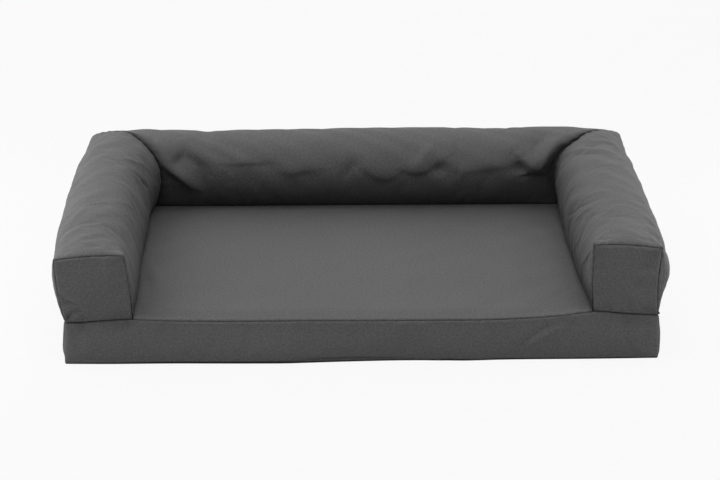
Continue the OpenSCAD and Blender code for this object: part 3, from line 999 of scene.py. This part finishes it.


# How open each place is to the light round the bed, from 0, shut in, to 1. The cover's colour is
# made a little deeper where it is shut in and along its seams: this is painted shade.

OPEN_RAYS = 72
OPEN_STEP = 2
OPEN_REACH = 2.0
OPEN_LEAST = 0.57
OPEN_BLUR = 0.8
OPEN_POWERS = {"back_wrap": 1.2, "left_arm_end": 0.35, "right_arm_end": 0.35, "front_band": 0.35}
# The power that makes the least openness a soft limit
OPEN_SOFTNESS = 4
# Painted shade along each kind of seam: how deep it is and how wide
SEAM_SHADE = {
    "seam": (0.6, 0.8), "foot": (0.6, 0.9), "inner": (0.6, 1.2), "under": (0.6, 1.2), "corner": (0.15, 0.9),
}
# Painted shade along the arms' inner feet: how deep, and how far up from the front end to the rear one
CREVICE_SHADES = {"left_arm_wrap": (0.84, 33, 48), "right_arm_wrap": (0.9, 27, 50)}
CREVICE_CORE = 0.62
CREVICE_CORE_REACH = 10
CREVICE_WIDENS_OVER = 1.2 * HALF_D
# Painted shade beside the rear corners' seams, on their inner side
MITRE_CREVICE = 0.45
MITRE_CREVICE_REACH = 14
MITRE_CREVICE_BLEND = 0.1
# Painted shade along the rear of the sleeping panel
SLEEP_CREVICE = 0.22
SLEEP_CREVICE_REACH = 80


def spread_directions(count):
    """Directions round +Z, closer together towards it as light on a matt surface counts them."""
    turn = np.arange(count) * math.pi * (3 - math.sqrt(5))
    away = np.sqrt((np.arange(count) + 0.5) / count)
    return np.stack([away * np.cos(turn), away * np.sin(turn), np.sqrt(1 - away * away)], axis=-1)


def open_shares(grid, ups, tree):
    """The share of the light's directions that the bed itself doesn't block, at each point."""
    up = ups.reshape(-1, 3)
    points = grid.reshape(-1, 3)
    result = np.empty(len(points))
    rays = spread_directions(OPEN_RAYS)
    for i, (point, n) in enumerate(zip(points, up)):
        side = np.cross(n, (0, 0, 1) if abs(n[2]) < 0.9 else (1, 0, 0))
        side /= np.linalg.norm(side)
        ways = rays @ np.stack([side, np.cross(n, side), n])
        start = point + n * OPEN_REACH
        free = sum(tree.ray_cast(start, way)[0] is None for way in ways)
        result[i] = free / OPEN_RAYS
    return result.reshape(grid.shape[:2])


def knot_rows(panel):
    """Which rows and columns of a panel's finished grid are its coarse knots."""
    return [np.flatnonzero(np.abs(at - np.round(at)) < 1e-9) for _, at in fine_places(panel)]


def openness(surfaces):
    """For each panel, its openness on its coarse points."""
    points, faces, start = [], [], 0
    for panel, grid in surfaces.items():
        some = grid[::2, ::2]
        points.append(some.reshape(-1, 3))
        faces.append(start + quads(*some.shape[:2], True))
        start += len(points[-1])
    tree = BVHTree.FromPolygons(np.concatenate(points).tolist(), np.concatenate(faces).tolist())
    result = {}
    for panel, grid in surfaces.items():
        at_rows, at_columns = knot_rows(panel)
        if panel in ("rear_band", "bottom_panel"):
            result[panel] = np.ones((len(at_rows), len(at_columns)))
            continue
        rows, columns = np.arange(len(at_rows)), np.arange(len(at_columns))
        step = 1 if panel in ROLLS else OPEN_STEP
        inset = 2 if panel == "sleep_panel" else 0
        few_rows = np.arange(0, len(rows) - inset, step)
        few_columns = np.arange(inset, len(columns) - inset, step)
        few_rows[-1] = len(rows) - 1 - inset
        few_columns[-1] = len(columns) - 1 - inset
        places = np.ix_(at_rows[few_rows], at_columns[few_columns])
        few = open_shares(grid[places], normals(grid, panel)[places], tree)
        tall = np.stack([np.interp(rows, few_rows, line) for line in few.T], axis=-1)
        result[panel] = np.stack([np.interp(columns, few_columns, line) for line in tall])
    return result


def darkened(shade, depth, distance, reach):
    """The shade made deeper near an edge."""
    return shade * (1 - depth * bell(distance, reach))


def shade_of(panel, grid, shares):
    """The painted shade of the finished cloth: its openness, made deeper along seams and in crevices."""
    (_, rows), (_, columns) = fine_places(panel)
    soft = blurred(shares[..., None], OPEN_BLUR)
    shade = np.clip(resampled(soft, rows, columns)[..., 0], 0, 1)
    shade = (shade ** OPEN_SOFTNESS + OPEN_LEAST ** OPEN_SOFTNESS) ** (1 / OPEN_SOFTNESS)
    shade = shade ** OPEN_POWERS.get(panel, 1)
    distances = edge_distances(grid)
    # Painted shade along each seam
    for d, kind in zip(distances, EDGES[panel]):
        deep, width = SEAM_SHADE[kind]
        shade = darkened(shade, deep, d, width)
    # Painted shade along the arms' inner feet: a wide band and a narrow core
    if panel in CREVICE_SHADES:
        depth, first, last = CREVICE_SHADES[panel]
        along, up = distances[0], distances[3]
        reach = first + (last - first) * ease(along / CREVICE_WIDENS_OVER)
        shade = darkened(shade, depth, up, reach)
        shade = darkened(shade, CREVICE_CORE, up, CREVICE_CORE_REACH)
    # Painted shade along the rear of the sleeping panel
    if panel == "sleep_panel":
        shade = darkened(shade, SLEEP_CREVICE, distances[1], SLEEP_CREVICE_REACH)
    # Painted shade beside the back's corner seams, on their inner side
    if panel == "back_wrap":
        inner = ease((columns / columns[-1] - 0.5) / MITRE_CREVICE_BLEND)[None, :]
        for d in distances[:2]:
            shade = darkened(shade, MITRE_CREVICE * inner, d, MITRE_CREVICE_REACH)
    return np.minimum(shade, 1)


# Building the pieces


def blank_object(name, data):
    piece = bpy.data.objects.new(name, data)
    bpy.context.collection.objects.link(piece)
    return piece


def closed_shell(outer, inner, faces, levels=1):
    """Points and faces of two layers, joined round the rim of the given faces of the outer one."""
    count = len(outer)
    pairs = faces[:, [0, 1, 1, 2, 2, 3, 3, 0]].reshape(-1, 2)
    _, first, times = np.unique(np.sort(pairs, axis=1), axis=0, return_index=True, return_counts=True)
    rim = pairs[first[times == 1]]
    ends = np.unique(rim)
    rank = np.zeros(count, dtype=int)
    rank[ends] = np.arange(len(ends))
    steps = [outer[ends] + (inner[ends] - outer[ends]) * k / levels for k in range(1, levels)]
    rungs = [rim] + [2 * count + k * len(ends) + rank[rim] for k in range(levels - 1)] + [count + rim]
    sides = [
        np.stack([low[:, 1], low[:, 0], high[:, 0], high[:, 1]], axis=-1)
        for low, high in zip(rungs[:-1], rungs[1:])
    ]
    every = np.concatenate([faces, count + faces[:, ::-1]] + sides)
    used, index = np.unique(every, return_inverse=True)
    return np.concatenate([outer, inner] + steps)[used], index.reshape(every.shape), used


def smooth_object(name, points, faces, material):
    mesh = bpy.data.meshes.new(name)
    mesh.from_pydata((points * MM).tolist(), [], faces.tolist())
    mesh.polygons.foreach_set("use_smooth", np.ones(len(faces), dtype=bool))
    mesh.materials.append(material)
    mesh.update()
    return blank_object(name, mesh)


def sheet_object(name, grid, out, front_out, material, thickness=CLOTH, kept=None, shade=None):
    """A piece of cloth on a grid of points, with its thickness inwards and a UV map in metres."""
    distances = edge_distances(grid)
    flat = np.stack([distances[2].ravel(), distances[0].ravel()], axis=-1) * MM
    faces = quads(*grid.shape[:2], front_out)
    if kept is not None:
        faces = faces[kept[faces].all(axis=1)]
    outer, inner = grid.reshape(-1, 3), (grid - thickness * out).reshape(-1, 3)
    points, corners, used = closed_shell(outer, inner, faces)
    piece = smooth_object(name, points, corners, material)
    flat = np.concatenate([flat, flat])[used]
    uv = piece.data.uv_layers.new(name="cloth")
    uv.data.foreach_set("uv", flat[corners.ravel()].ravel())
    # The painted shade goes to the openness attribute, which darkens the cloth's colour
    shade = np.ones(grid.shape[:2]) if shade is None else shade
    open_to_light = piece.data.attributes.new("openness", "FLOAT", "POINT")
    open_to_light.data.foreach_set("value", np.concatenate([shade.ravel(), shade.ravel()])[used])
    return piece


def fine_places(panel):
    """The finished rows and columns of a panel: each one's knot value and its place among the knots."""
    _, v_knots, u_knots = PANELS[panel]
    fine = FINE.get(panel, USUAL_FINE)
    more_v, more_u = MORE_PLACES.get(panel, ((), ()))
    return divided(v_knots, fine[0], more_v), divided(u_knots, fine[1], more_u)


def unfolded(panel):
    """A panel's finished points before any folds."""
    (v, _), (u, _) = fine_places(panel)
    return PANELS[panel][0](v, u)


def plain_surface(panel, folds):
    """The surface of a panel with its folds, before its seams."""
    (_, v_place), (_, u_place) = fine_places(panel)
    grid = corners_rounded(unfolded(panel))
    near = np.minimum.reduce(edge_distances(grid))
    if panel in folds:
        small = resampled(folds[panel] - blurred(folds[panel], SIM_BLUR), v_place, u_place)
        grid = grid + SIM_GAINS[panel] * small * ease(near / SIM_FADE)[..., None]
    relief = lump_relief(panel, grid) + wrinkle_relief(panel, grid)
    relief = relief + fold_relief(panel, grid) * ease(near / FOLD_FADE)
    return grid + relief[..., None] * normals(grid, panel)


def finished_surfaces(folds):
    """Every panel's finished surface."""
    plain = {panel: plain_surface(panel, folds) for panel in PANELS}
    directions = seam_directions(plain)
    return {panel: sewn(panel, grid, directions[panel]) for panel, grid in plain.items()}


# The sleep panel runs on under the bolsters, to the base's edges

UNDER_ROLL_STEPS = np.array([0.02, 0.06, 0.15, 0.4, 0.7, 1])
UNDER_ROLL_SINK = 0.6
UNDER_ROLL_FALL = 8
SLEEP_INSET = 1.2


def widened_shade(shade):
    """The sleep panel's openness, with the shut-in rows and columns under the bolsters."""
    extra = len(UNDER_ROLL_STEPS)
    return np.pad(shade, [(0, extra), (extra, extra)], mode="edge")


def widened(grid, inset):
    """The sleep panel's grid with columns and rows added under the bolsters."""
    def outwards(edge, axis, to):
        strips = []
        for step in UNDER_ROLL_STEPS:
            strip = edge.copy()
            strip[..., axis] += (to - strip[..., axis]) * step
            strip[..., 2] += (BASE_H - UNDER_ROLL_SINK - strip[..., 2]) * min(1, UNDER_ROLL_FALL * step)
            strips.append(strip)
        return np.stack(strips)
    left = outwards(grid[:, 0], 0, inset - HALF_W)[::-1].transpose(1, 0, 2)
    right = outwards(grid[:, -1], 0, HALF_W - inset).transpose(1, 0, 2)
    wide = np.concatenate([left, grid, right], axis=1)
    rear = outwards(wide[-1], 1, HALF_D - inset)
    return np.concatenate([wide, rear], axis=0)


# Where the zip's window and the stitched folds beside it need more points: offsets from its edge
WINDOW_STEPS = np.array([0, 0.5, 1.2, 2.2, 3.5, 4.8, 5.4, 5.8, 6.2, 6.8, 8, 9.5])


def window_places():
    heights = np.concatenate([
        ZIP_Z + ZIP_WINDOW_H / 2 + WINDOW_STEPS, ZIP_Z - ZIP_WINDOW_H / 2 - WINDOW_STEPS, [ZIP_Z],
    ])
    up = (heights - UNDER_LIFT) / (BASE_H - UNDER_LIFT) * BAND_CELLS
    across = np.concatenate([ZIP_WINDOW_HALF + WINDOW_STEPS, -ZIP_WINDOW_HALF - WINDOW_STEPS])
    return up, (across + HALF_W) / (2 * HALF_W) * BACK_CELLS


MORE_PLACES = {"rear_band": window_places()}


# The zip's cloth: the doubled cloth beside its window, the edge of that, and the stitches' groove, each
# with its height, its place and its width where it has them
DOUBLED, DOUBLED_TO, DOUBLED_FADE = 0.8, 6, 3.5
WINDOW_EDGE, WINDOW_EDGE_WIDTH = 0.5, 0.8
STITCH, STITCH_AT, STITCH_WIDTH = 0.45, 5.8, 0.5
# The tapes: points along and across, the cord beside the teeth, and the ribs of the weave
TAPE_POINTS = (223, 25)
CORD, CORD_AT, CORD_WIDTH = 0.3, 1.6, 0.9
TAPE_RIB, TAPE_RIB_RATE = 0.12, 2.4
TAPE_SINK = 0.3
TAPE_SHARE = 0.3
# How far a half of the rear band reaches past the window's edge and the zip's middle line
HALF_SPARE = 0.05


def zip_fold_relief(grid):
    """Height of the doubled cloth and its stitched line beside the zip's window."""
    beyond_x = np.maximum(np.abs(grid[..., 0]) - ZIP_WINDOW_HALF, 0)
    beyond_z = np.maximum(np.abs(grid[..., 2] - ZIP_Z) - ZIP_WINDOW_H / 2, 0)
    away = np.hypot(beyond_x, beyond_z)
    doubled = DOUBLED * (1 - ease((away - DOUBLED_TO) / DOUBLED_FADE))
    doubled = doubled - WINDOW_EDGE * bell(away, WINDOW_EDGE_WIDTH)
    return doubled - STITCH * bell(away - STITCH_AT, STITCH_WIDTH)


def tape_grid(node):
    """Outer face of one of the zip's tapes, with a cord along its edge by the teeth."""
    low, high = node_box(node)
    x = np.linspace(low[0], high[0], TAPE_POINTS[0])
    z = np.linspace(low[2], high[2], TAPE_POINTS[1])
    x, z = np.meshgrid(x, z)
    from_teeth = np.abs(z - ZIP_Z)
    inner = np.abs(np.array([low[2], high[2]]) - ZIP_Z).min()
    cord = CORD * bell(from_teeth - inner - CORD_AT, CORD_WIDTH)
    ribs = TAPE_RIB * np.sin(from_teeth * TAPE_RIB_RATE)
    return np.stack([x, high[1] - TAPE_SINK + cord * 0.5 + TAPE_SHARE * ribs, z], axis=-1)


# Materials


def node_group(name, inputs, outputs):
    """An empty shader group with the given float or vector inputs and outputs."""
    group = bpy.data.node_groups.new(name, "ShaderNodeTree")
    kinds = {"float": "NodeSocketFloat", "vector": "NodeSocketVector", "color": "NodeSocketColor"}
    for label, kind, value in inputs:
        socket = group.interface.new_socket(label, in_out="INPUT", socket_type=kinds[kind])
        if value is not None:
            socket.default_value = value
    for label, kind in outputs:
        group.interface.new_socket(label, in_out="OUTPUT", socket_type=kinds[kind])
    return group, group.nodes.new("NodeGroupInput"), group.nodes.new("NodeGroupOutput")


def feed(tree, node, inputs):
    """Puts a value, or another node's output, at each input."""
    for label, value in inputs.items():
        if isinstance(value, bpy.types.NodeSocket):
            tree.links.new(value, node.inputs[label])
        else:
            node.inputs[label].default_value = value


def add_node(tree, kind, inputs, **settings):
    """A new shader node with its settings and its inputs."""
    node = tree.nodes.new("ShaderNode" + kind)
    for name, value in settings.items():
        setattr(node, name, value)
    feed(tree, node, inputs)
    return node


def math_node(tree, operation, *values):
    return add_node(tree, "Math", dict(enumerate(values)), operation=operation).outputs[0]


def noise_node(tree, vector, scale, detail, roughness):
    inputs = {"Vector": vector, "Scale": scale, "Detail": detail, "Roughness": roughness}
    return add_node(tree, "TexNoise", inputs).outputs["Fac"]


def plain_weave():
    """Plain weave on flat cloth coordinates in metres: the threads' height."""
    tree, given, put = node_group(
        "plain_weave",
        [("Cloth", "vector", None), ("Thread", "float", 0.0005)],
        [("Height", "float")],
    )
    split = add_node(tree, "SeparateXYZ", {0: given.outputs["Cloth"]})
    across = math_node(tree, "DIVIDE", split.outputs["X"], given.outputs["Thread"])
    along = math_node(tree, "DIVIDE", split.outputs["Y"], given.outputs["Thread"])
    column = math_node(tree, "FLOOR", across)
    row = math_node(tree, "FLOOR", along)
    total = math_node(tree, "ADD", column, row)
    warp = math_node(tree, "GREATER_THAN", math_node(tree, "FLOORED_MODULO", total, 2.0), 0.5)
    bow_x = math_node(tree, "SINE", math_node(tree, "MULTIPLY", math_node(tree, "FRACT", across), math.pi))
    bow_y = math_node(tree, "SINE", math_node(tree, "MULTIPLY", math_node(tree, "FRACT", along), math.pi))
    over_x = math_node(tree, "MULTIPLY_ADD", bow_y, 0.45, math_node(tree, "MULTIPLY", bow_x, 0.55))
    over_y = math_node(tree, "MULTIPLY_ADD", bow_x, 0.25, math_node(tree, "MULTIPLY", bow_y, 0.75))
    mix = add_node(tree, "Mix", {"Factor": warp, "A": over_x, "B": over_y})
    feed(tree, put, {"Height": mix.outputs["Result"]})
    return tree


def bumped(tree, shader, height, strength, distance):
    """The height as a relief on the surface."""
    push = add_node(tree, "Bump", {"Strength": strength, "Distance": distance, "Height": height})
    feed(tree, shader, {"Normal": push.outputs["Normal"]})


def blank_material(name):
    material = bpy.data.materials.new(name)
    material.use_nodes = True
    return material, material.node_tree, material.node_tree.nodes["Principled BSDF"]


def scaled_color(tree, color, factor):
    """The colour times a factor that changes over the surface."""
    return add_node(tree, "VectorMath", {0: color, "Scale": factor}, operation="SCALE").outputs[0]


OPEN_POWER = 1.1


def painted_shade(tree):
    """Painted shade: how much of its colour the cloth keeps where it is shut in."""
    node = add_node(tree, "Attribute", {}, attribute_name="openness")
    return math_node(tree, "POWER", node.outputs["Fac"], OPEN_POWER)


# How strongly the canvas's tone follows its threads, its flecks, its mottling and its clouds, and how
# many of each there are to a metre
THREAD_TONE = 0.22
FLECK_TONE, FLECK_SCALE = 1.3, 900.0
MOTTLE_TONE, MOTTLE_SCALE = 0.9, 340.0
CLOUD_TONE, CLOUD_SCALE = 0.10, 6.0
PLAIN_TONE = 0.86
# Its roughness, and the flecks' part in that and in its relief
PLAIN_ROUGHNESS, FLECK_ROUGHNESS, FLECK_RELIEF = 0.78, 0.12, 0.35
CANVAS_BUMP, CANVAS_RELIEF = 0.35, 0.0002
GRAIN_BUMP, GRAIN_TONE, GRAIN_ROUGHNESS = 0.5, 0.2, 0.2


def canvas(name, color, weave, thread=0.00055):
    """Woven polyester canvas: threads, a little unevenness of tone, and a faint sheen."""
    material, tree, shader = blank_material(name)
    cloth = add_node(tree, "UVMap", {}, uv_map="cloth").outputs["UV"]
    place = add_node(tree, "TexCoord", {}).outputs["Object"]
    threads = add_node(tree, "Group", {"Cloth": cloth, "Thread": thread}, node_tree=weave)
    threads = threads.outputs["Height"]
    fleck = noise_node(tree, cloth, FLECK_SCALE, 2.0, 0.6)
    mottle = noise_node(tree, cloth, MOTTLE_SCALE, 2.0, 0.6)
    cloud = noise_node(tree, place, CLOUD_SCALE, 3.0, 0.5)
    tone = math_node(tree, "MULTIPLY_ADD", threads, THREAD_TONE, PLAIN_TONE)
    for noise, strength in ((fleck, FLECK_TONE), (mottle, MOTTLE_TONE), (cloud, CLOUD_TONE)):
        tone = math_node(tree, "MULTIPLY_ADD", math_node(tree, "SUBTRACT", noise, 0.5), strength, tone)
    # The colour is darkened by the painted shade of the openness attribute
    tone = math_node(tree, "MULTIPLY", tone, painted_shade(tree))
    feed(tree, shader, {
        "Base Color": scaled_color(tree, color, tone),
        "Roughness": math_node(tree, "MULTIPLY_ADD", fleck, FLECK_ROUGHNESS, PLAIN_ROUGHNESS),
        "Specular IOR Level": 0.3,
        "Sheen Weight": 0.1,
        "Sheen Roughness": 0.4,
    })
    relief = math_node(tree, "MULTIPLY_ADD", fleck, FLECK_RELIEF, threads)
    bumped(tree, shader, relief, CANVAS_BUMP, CANVAS_RELIEF)
    return material


def grained(name, color, scale, depth, roughness, metallic=0.0):
    """A plain finish with a fine grain: moulded plastic, painted metal, foam or loose fibre."""
    material, tree, shader = blank_material(name)
    grain = noise_node(tree, add_node(tree, "TexCoord", {}).outputs["Object"], scale, 3.0, 0.6)
    tone = math_node(tree, "MULTIPLY_ADD", math_node(tree, "SUBTRACT", grain, 0.5), GRAIN_TONE, 1.0)
    rough = math_node(tree, "MULTIPLY_ADD", grain, GRAIN_ROUGHNESS, roughness - GRAIN_ROUGHNESS / 2)
    color = scaled_color(tree, color, tone)
    feed(tree, shader, {"Base Color": color, "Roughness": rough, "Metallic": metallic})
    bumped(tree, shader, grain, GRAIN_BUMP, depth)
    return material


COVER_GREY = (0.142, 0.142, 0.145)
UNDER_BLACK = (0.012, 0.012, 0.013)
weave = plain_weave()
cover_cloth = canvas("cover_canvas", COVER_GREY, weave)
under_cloth = canvas("underside_canvas", UNDER_BLACK, weave, thread=0.0007)
tape_cloth = canvas("zip_tape_weave", (0.006, 0.006, 0.007), weave, thread=0.0004)
foam = grained("cream_foam", (0.80, 0.74, 0.58), 900.0, 0.0006, 0.85)
fibre = grained("white_fibre", (0.85, 0.85, 0.83), 260.0, 0.002, 0.9)
tooth_plastic = grained("black_tooth_plastic", (0.014, 0.014, 0.015), 1500.0, 0.00003, 0.3)
zip_metal = grained("dark_zip_metal", (0.16, 0.16, 0.165), 1200.0, 0.00002, 0.3, 1.0)


# The cover


def on_bed(piece, slot, *nodes):
    """The piece rides on the bed, in place of the given CAD nodes."""
    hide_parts(*nodes)
    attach(piece, "bed")


def cut_size(grid):
    """The flat width, length and area of a piece of cloth, in metres."""
    left, right, low, high = edge_distances(grid)[2:] + edge_distances(grid)[:2]
    width, length = (left + right).max() * MM, (low + high).max() * MM
    a = grid[1:, 1:] - grid[:-1, :-1]
    b = grid[1:, :-1] - grid[:-1, 1:]
    area = np.linalg.norm(np.cross(a, b), axis=-1).sum() / 2 * MM * MM
    return (float(width), float(length)), float(min(area, width * length))


def declared(grid):
    flat, area = cut_size(grid)


def panel_object(name, panel, grid, material, **more):
    """A panel of the cover as an object."""
    return sheet_object(name, grid, normals(grid, panel), faces_out(grid, panel), material, **more)


CARRIED_BY = {
    "left_arm_wrap": "left_arm_fill", "right_arm_wrap": "right_arm_fill", "back_wrap": "back_fill",
    "left_arm_end": "left_arm_fill", "right_arm_end": "right_arm_fill",
}

folds = simulated_folds()
surfaces = finished_surfaces(folds)
light_shares = openness(surfaces)
shades = {panel: shade_of(panel, grid, light_shares[panel]) for panel, grid in surfaces.items()}
for panel, grid in surfaces.items():
    if panel in ("rear_band", "bottom_panel"):
        continue
    shade = shades[panel]
    if panel == "sleep_panel":
        grid = widened(grid, SLEEP_INSET)
        shade = widened_shade(shade)
    piece = panel_object(panel + "_cloth", panel, grid, cover_cloth, shade=shade)
    on_bed(piece, "cover_cloth", panel)
    declared(grid)

grid = surfaces["bottom_panel"]
piece = panel_object("bottom_panel_cloth", "bottom_panel", grid, under_cloth)
on_bed(piece, "underside_cloth", "bottom_panel")
declared(grid)

# The rear side, in two halves with the zip's window between them

grid = surfaces["rear_band"]
flat = unfolded("rear_band")
grid = grid + zip_fold_relief(flat)[..., None] * np.array([0, 1, 0])
spare = np.maximum(np.abs(flat[..., 0]) - ZIP_WINDOW_HALF, np.abs(flat[..., 2] - ZIP_Z) - ZIP_WINDOW_H / 2)
around = spare > -HALF_SPARE
for node, above in (("rear_band_upper", 1), ("rear_band_lower", -1)):
    half = around & (above * (flat[..., 2] - ZIP_Z) > -HALF_SPARE)
    shade = shades["rear_band"]
    piece = panel_object(node + "_cloth", "rear_band", grid, cover_cloth, kept=half.ravel(), shade=shade)
    on_bed(piece, "cover_cloth", node)
    level = BASE_H - ZIP_Z if above > 0 else ZIP_Z - UNDER_LIFT
    size = (2 * HALF_W * MM, level * MM)

for node in ("zip_tape_upper", "zip_tape_lower"):
    grid = tape_grid(node)
    out = np.zeros_like(grid) + (0, 1, 0)
    low, high = node_box(node)
    piece = sheet_object(node + "_weave", grid, out, faces_out(grid, node), tape_cloth, high[1] - low[1])
    on_bed(piece, "zip_tape", node)
    declared(grid)


# Foam and stuffing

ROOM = 0.7
FIBRE_ROOM = 1.8
FOAM_ROUND = 20
FOAM_INSET = CLOTH + 2
FOAM_SINK = CLOTH + ROOM + 0.6
FOAM_ACROSS, FOAM_ALONG, FOAM_LEVELS = 57, 43, 5
FOAM_FROM = 0.0075
# The rows of a wrap that its fibre leaves out at each end
FIBRE_SHORT = 5
FIBRE_LEVELS = 6


def stuffed_object(name, top, bottom, front_out, levels, material):
    faces = quads(*top.shape[:2], front_out)
    points, corners, _ = closed_shell(top.reshape(-1, 3), bottom.reshape(-1, 3), faces, levels)
    return smooth_object(name, points, corners, material)


def foam_block():
    """The foam slab, crowned under the sleep panel and a little rounded at its edges."""
    across, along = np.linspace(0, 1, FOAM_ACROSS), np.linspace(FOAM_FROM, 1, FOAM_ALONG)
    top = widened(sleep_panel(across, along), FOAM_INSET)
    top[..., 2] -= FOAM_SINK
    top = corners_rounded(top, FOAM_ROUND, [(0, 1)])
    bottom = top.copy()
    bottom[..., 2] = CLOTH + ROOM
    out = faces_out(top, "sleep_panel")
    return stuffed_object("foam_core_block", top, bottom, out, FOAM_LEVELS, foam)


def stuffing(name, wrap):
    """The loose fibre that fills a bolster: its cloth's form, standing on the sleep panel."""
    grid = surfaces[wrap][FIBRE_SHORT:-FIBRE_SHORT:2, ::2]
    top = grid - (CLOTH + FIBRE_ROOM) * normals(grid, wrap)
    top[..., 2] = np.maximum(top[..., 2], BASE_H + ROOM)
    share = (1 - np.cos(np.pi * np.linspace(0, 1, top.shape[1]))) / 2
    bottom = top[:, :1] + (top[:, -1:] - top[:, :1]) * share[None, :, None]
    bottom[..., 2] = BASE_H
    return stuffed_object(name, top, bottom, faces_out(top, wrap), FIBRE_LEVELS, fibre)


piece = foam_block()
on_bed(piece, "foam", "foam_core")
for wrap in ROLLS:
    node = CARRIED_BY[wrap]
    piece = stuffing(node + "_fibre", wrap)
    on_bed(piece, "fibre_fill", node)

for node, material in {
    "zip_teeth_upper": tooth_plastic, "zip_teeth_lower": tooth_plastic,
    "zip_top_stops": zip_metal, "zip_bottom_stop": zip_metal, "zip_slider": zip_metal,
    "zip_pull": zip_metal,
}.items():
    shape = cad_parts[node].data
    shape.materials.clear()
    shape.materials.append(material)


# Camera, floor and light


def look():
    right, up, forward = camera_axes()
    data = bpy.data.cameras.new("camera")
    data.sensor_width = SENSOR
    data.lens = SENSOR * FOCAL_PX / PHOTO_W
    data.clip_end = 50
    camera = blank_object("camera", data)
    turn = Matrix((right, up, -forward)).transposed().to_4x4()
    camera.matrix_world = Matrix.Translation(CAMERA_AT * MM) @ turn
    bpy.context.scene.camera = camera


def seen_rays(tree):
    """1 for rays from the camera, mirrors and glass, 0 for those that bring light; and the camera's."""
    path = add_node(tree, "LightPath", {}).outputs
    seen = math_node(tree, "MAXIMUM", path["Is Camera Ray"], path["Is Glossy Ray"])
    return math_node(tree, "MAXIMUM", seen, path["Is Transmission Ray"]), path["Is Camera Ray"]


def white_where_seen(tree, surface, share):
    """Mixes a plain white glow into a surface, for rays from the camera, mirrors and glass alone."""
    seen, _ = seen_rays(tree)
    glow = add_node(tree, "Emission", {"Strength": 1.0}).outputs[0]
    share = math_node(tree, "MULTIPLY", seen, share)
    return add_node(tree, "MixShader", {"Fac": share, 1: surface, 2: glow}).outputs[0]


WHITE = (1, 1, 1, 1)
FLOOR_GREY = 0.7
FLOOR_GLOW = 0.9
WORLD_GLOW = 0.06
MIRRORED = 0.8


def floor():
    bpy.ops.object.select_all(action="DESELECT")
    bpy.ops.mesh.primitive_plane_add(size=30, location=(0, 0, -0.0002))
    plane = bpy.context.object
    plane.name = "floor"
    material, tree, shader = blank_material("pale_floor")
    grey = (FLOOR_GREY, FLOOR_GREY, FLOOR_GREY, 1)
    feed(tree, shader, {"Base Color": grey, "Roughness": 0.9, "Specular IOR Level": 0.1})
    surface = white_where_seen(tree, shader.outputs[0], FLOOR_GLOW)
    feed(tree, tree.nodes["Material Output"], {"Surface": surface})
    plane.data.materials.append(material)


def world_light():
    """A plain dim world, which the camera sees white and mirrors see a little less so."""
    world = bpy.data.worlds.new("studio")
    bpy.context.scene.world = world
    world.use_nodes = True
    tree = world.node_tree
    plain = tree.nodes["Background"]
    feed(tree, plain, {"Color": WHITE, "Strength": WORLD_GLOW})
    seen, by_camera = seen_rays(tree)
    strength = math_node(tree, "MULTIPLY_ADD", by_camera, 1 - MIRRORED, MIRRORED)
    white = add_node(tree, "Background", {"Color": WHITE, "Strength": strength})
    mix = add_node(tree, "MixShader", {"Fac": seen, 1: plain.outputs[0], 2: white.outputs[0]})
    feed(tree, tree.nodes["World Output"], {"Surface": mix.outputs[0]})


# Lamps, all turned to the middle of the bed: place and size in metres, and power
MIDDLE = (0.0, 0.0, 0.1)
LAMPS = {
    "high": ((0.0, 0.3, 5.0), (2.4, 2.4), 52),
    "front_high": ((0.0, -1.8, 4.2), (2.4, 1.6), 26.5),
    "front_low": ((-0.2, -3.2, 0.9), (2.4, 0.8), 1.6),
    "left": ((-2.6, 0.0, 2.4), (1.6, 1.6), 15),
    "rear_left": ((-2.0, 1.8, 3.0), (1.6, 1.6), 16),
    "front_left": ((-1.6, -2.0, 3.6), (1.6, 1.6), 10),
    "front_right": ((1.6, -2.0, 3.6), (1.6, 1.6), 17),
    "rear": ((0.0, 2.6, 1.6), (2.4, 1.2), 14),
    "low_left": ((-0.85, 0.0, 0.25), (1.0, 0.2), 1.65),
    "low_right": ((0.85, 0.0, 0.25), (1.0, 0.2), 1.55),
}


def soft_box(name, at, size, power):
    light = bpy.data.lights.new(name, "AREA")
    light.shape = "RECTANGLE"
    light.size, light.size_y = size
    light.energy = power
    lamp = blank_object(name, light)
    back = Vector(at) - Vector(MIDDLE)
    lamp.matrix_world = Matrix.Translation(at) @ back.to_track_quat("Z", "Y").to_matrix().to_4x4()
    lamp.visible_camera = False


look()
floor()
world_light()
for name, (at, size, power) in LAMPS.items():
    soft_box(name, at, size, power)
bpy.context.scene.view_settings.view_transform = "Standard"
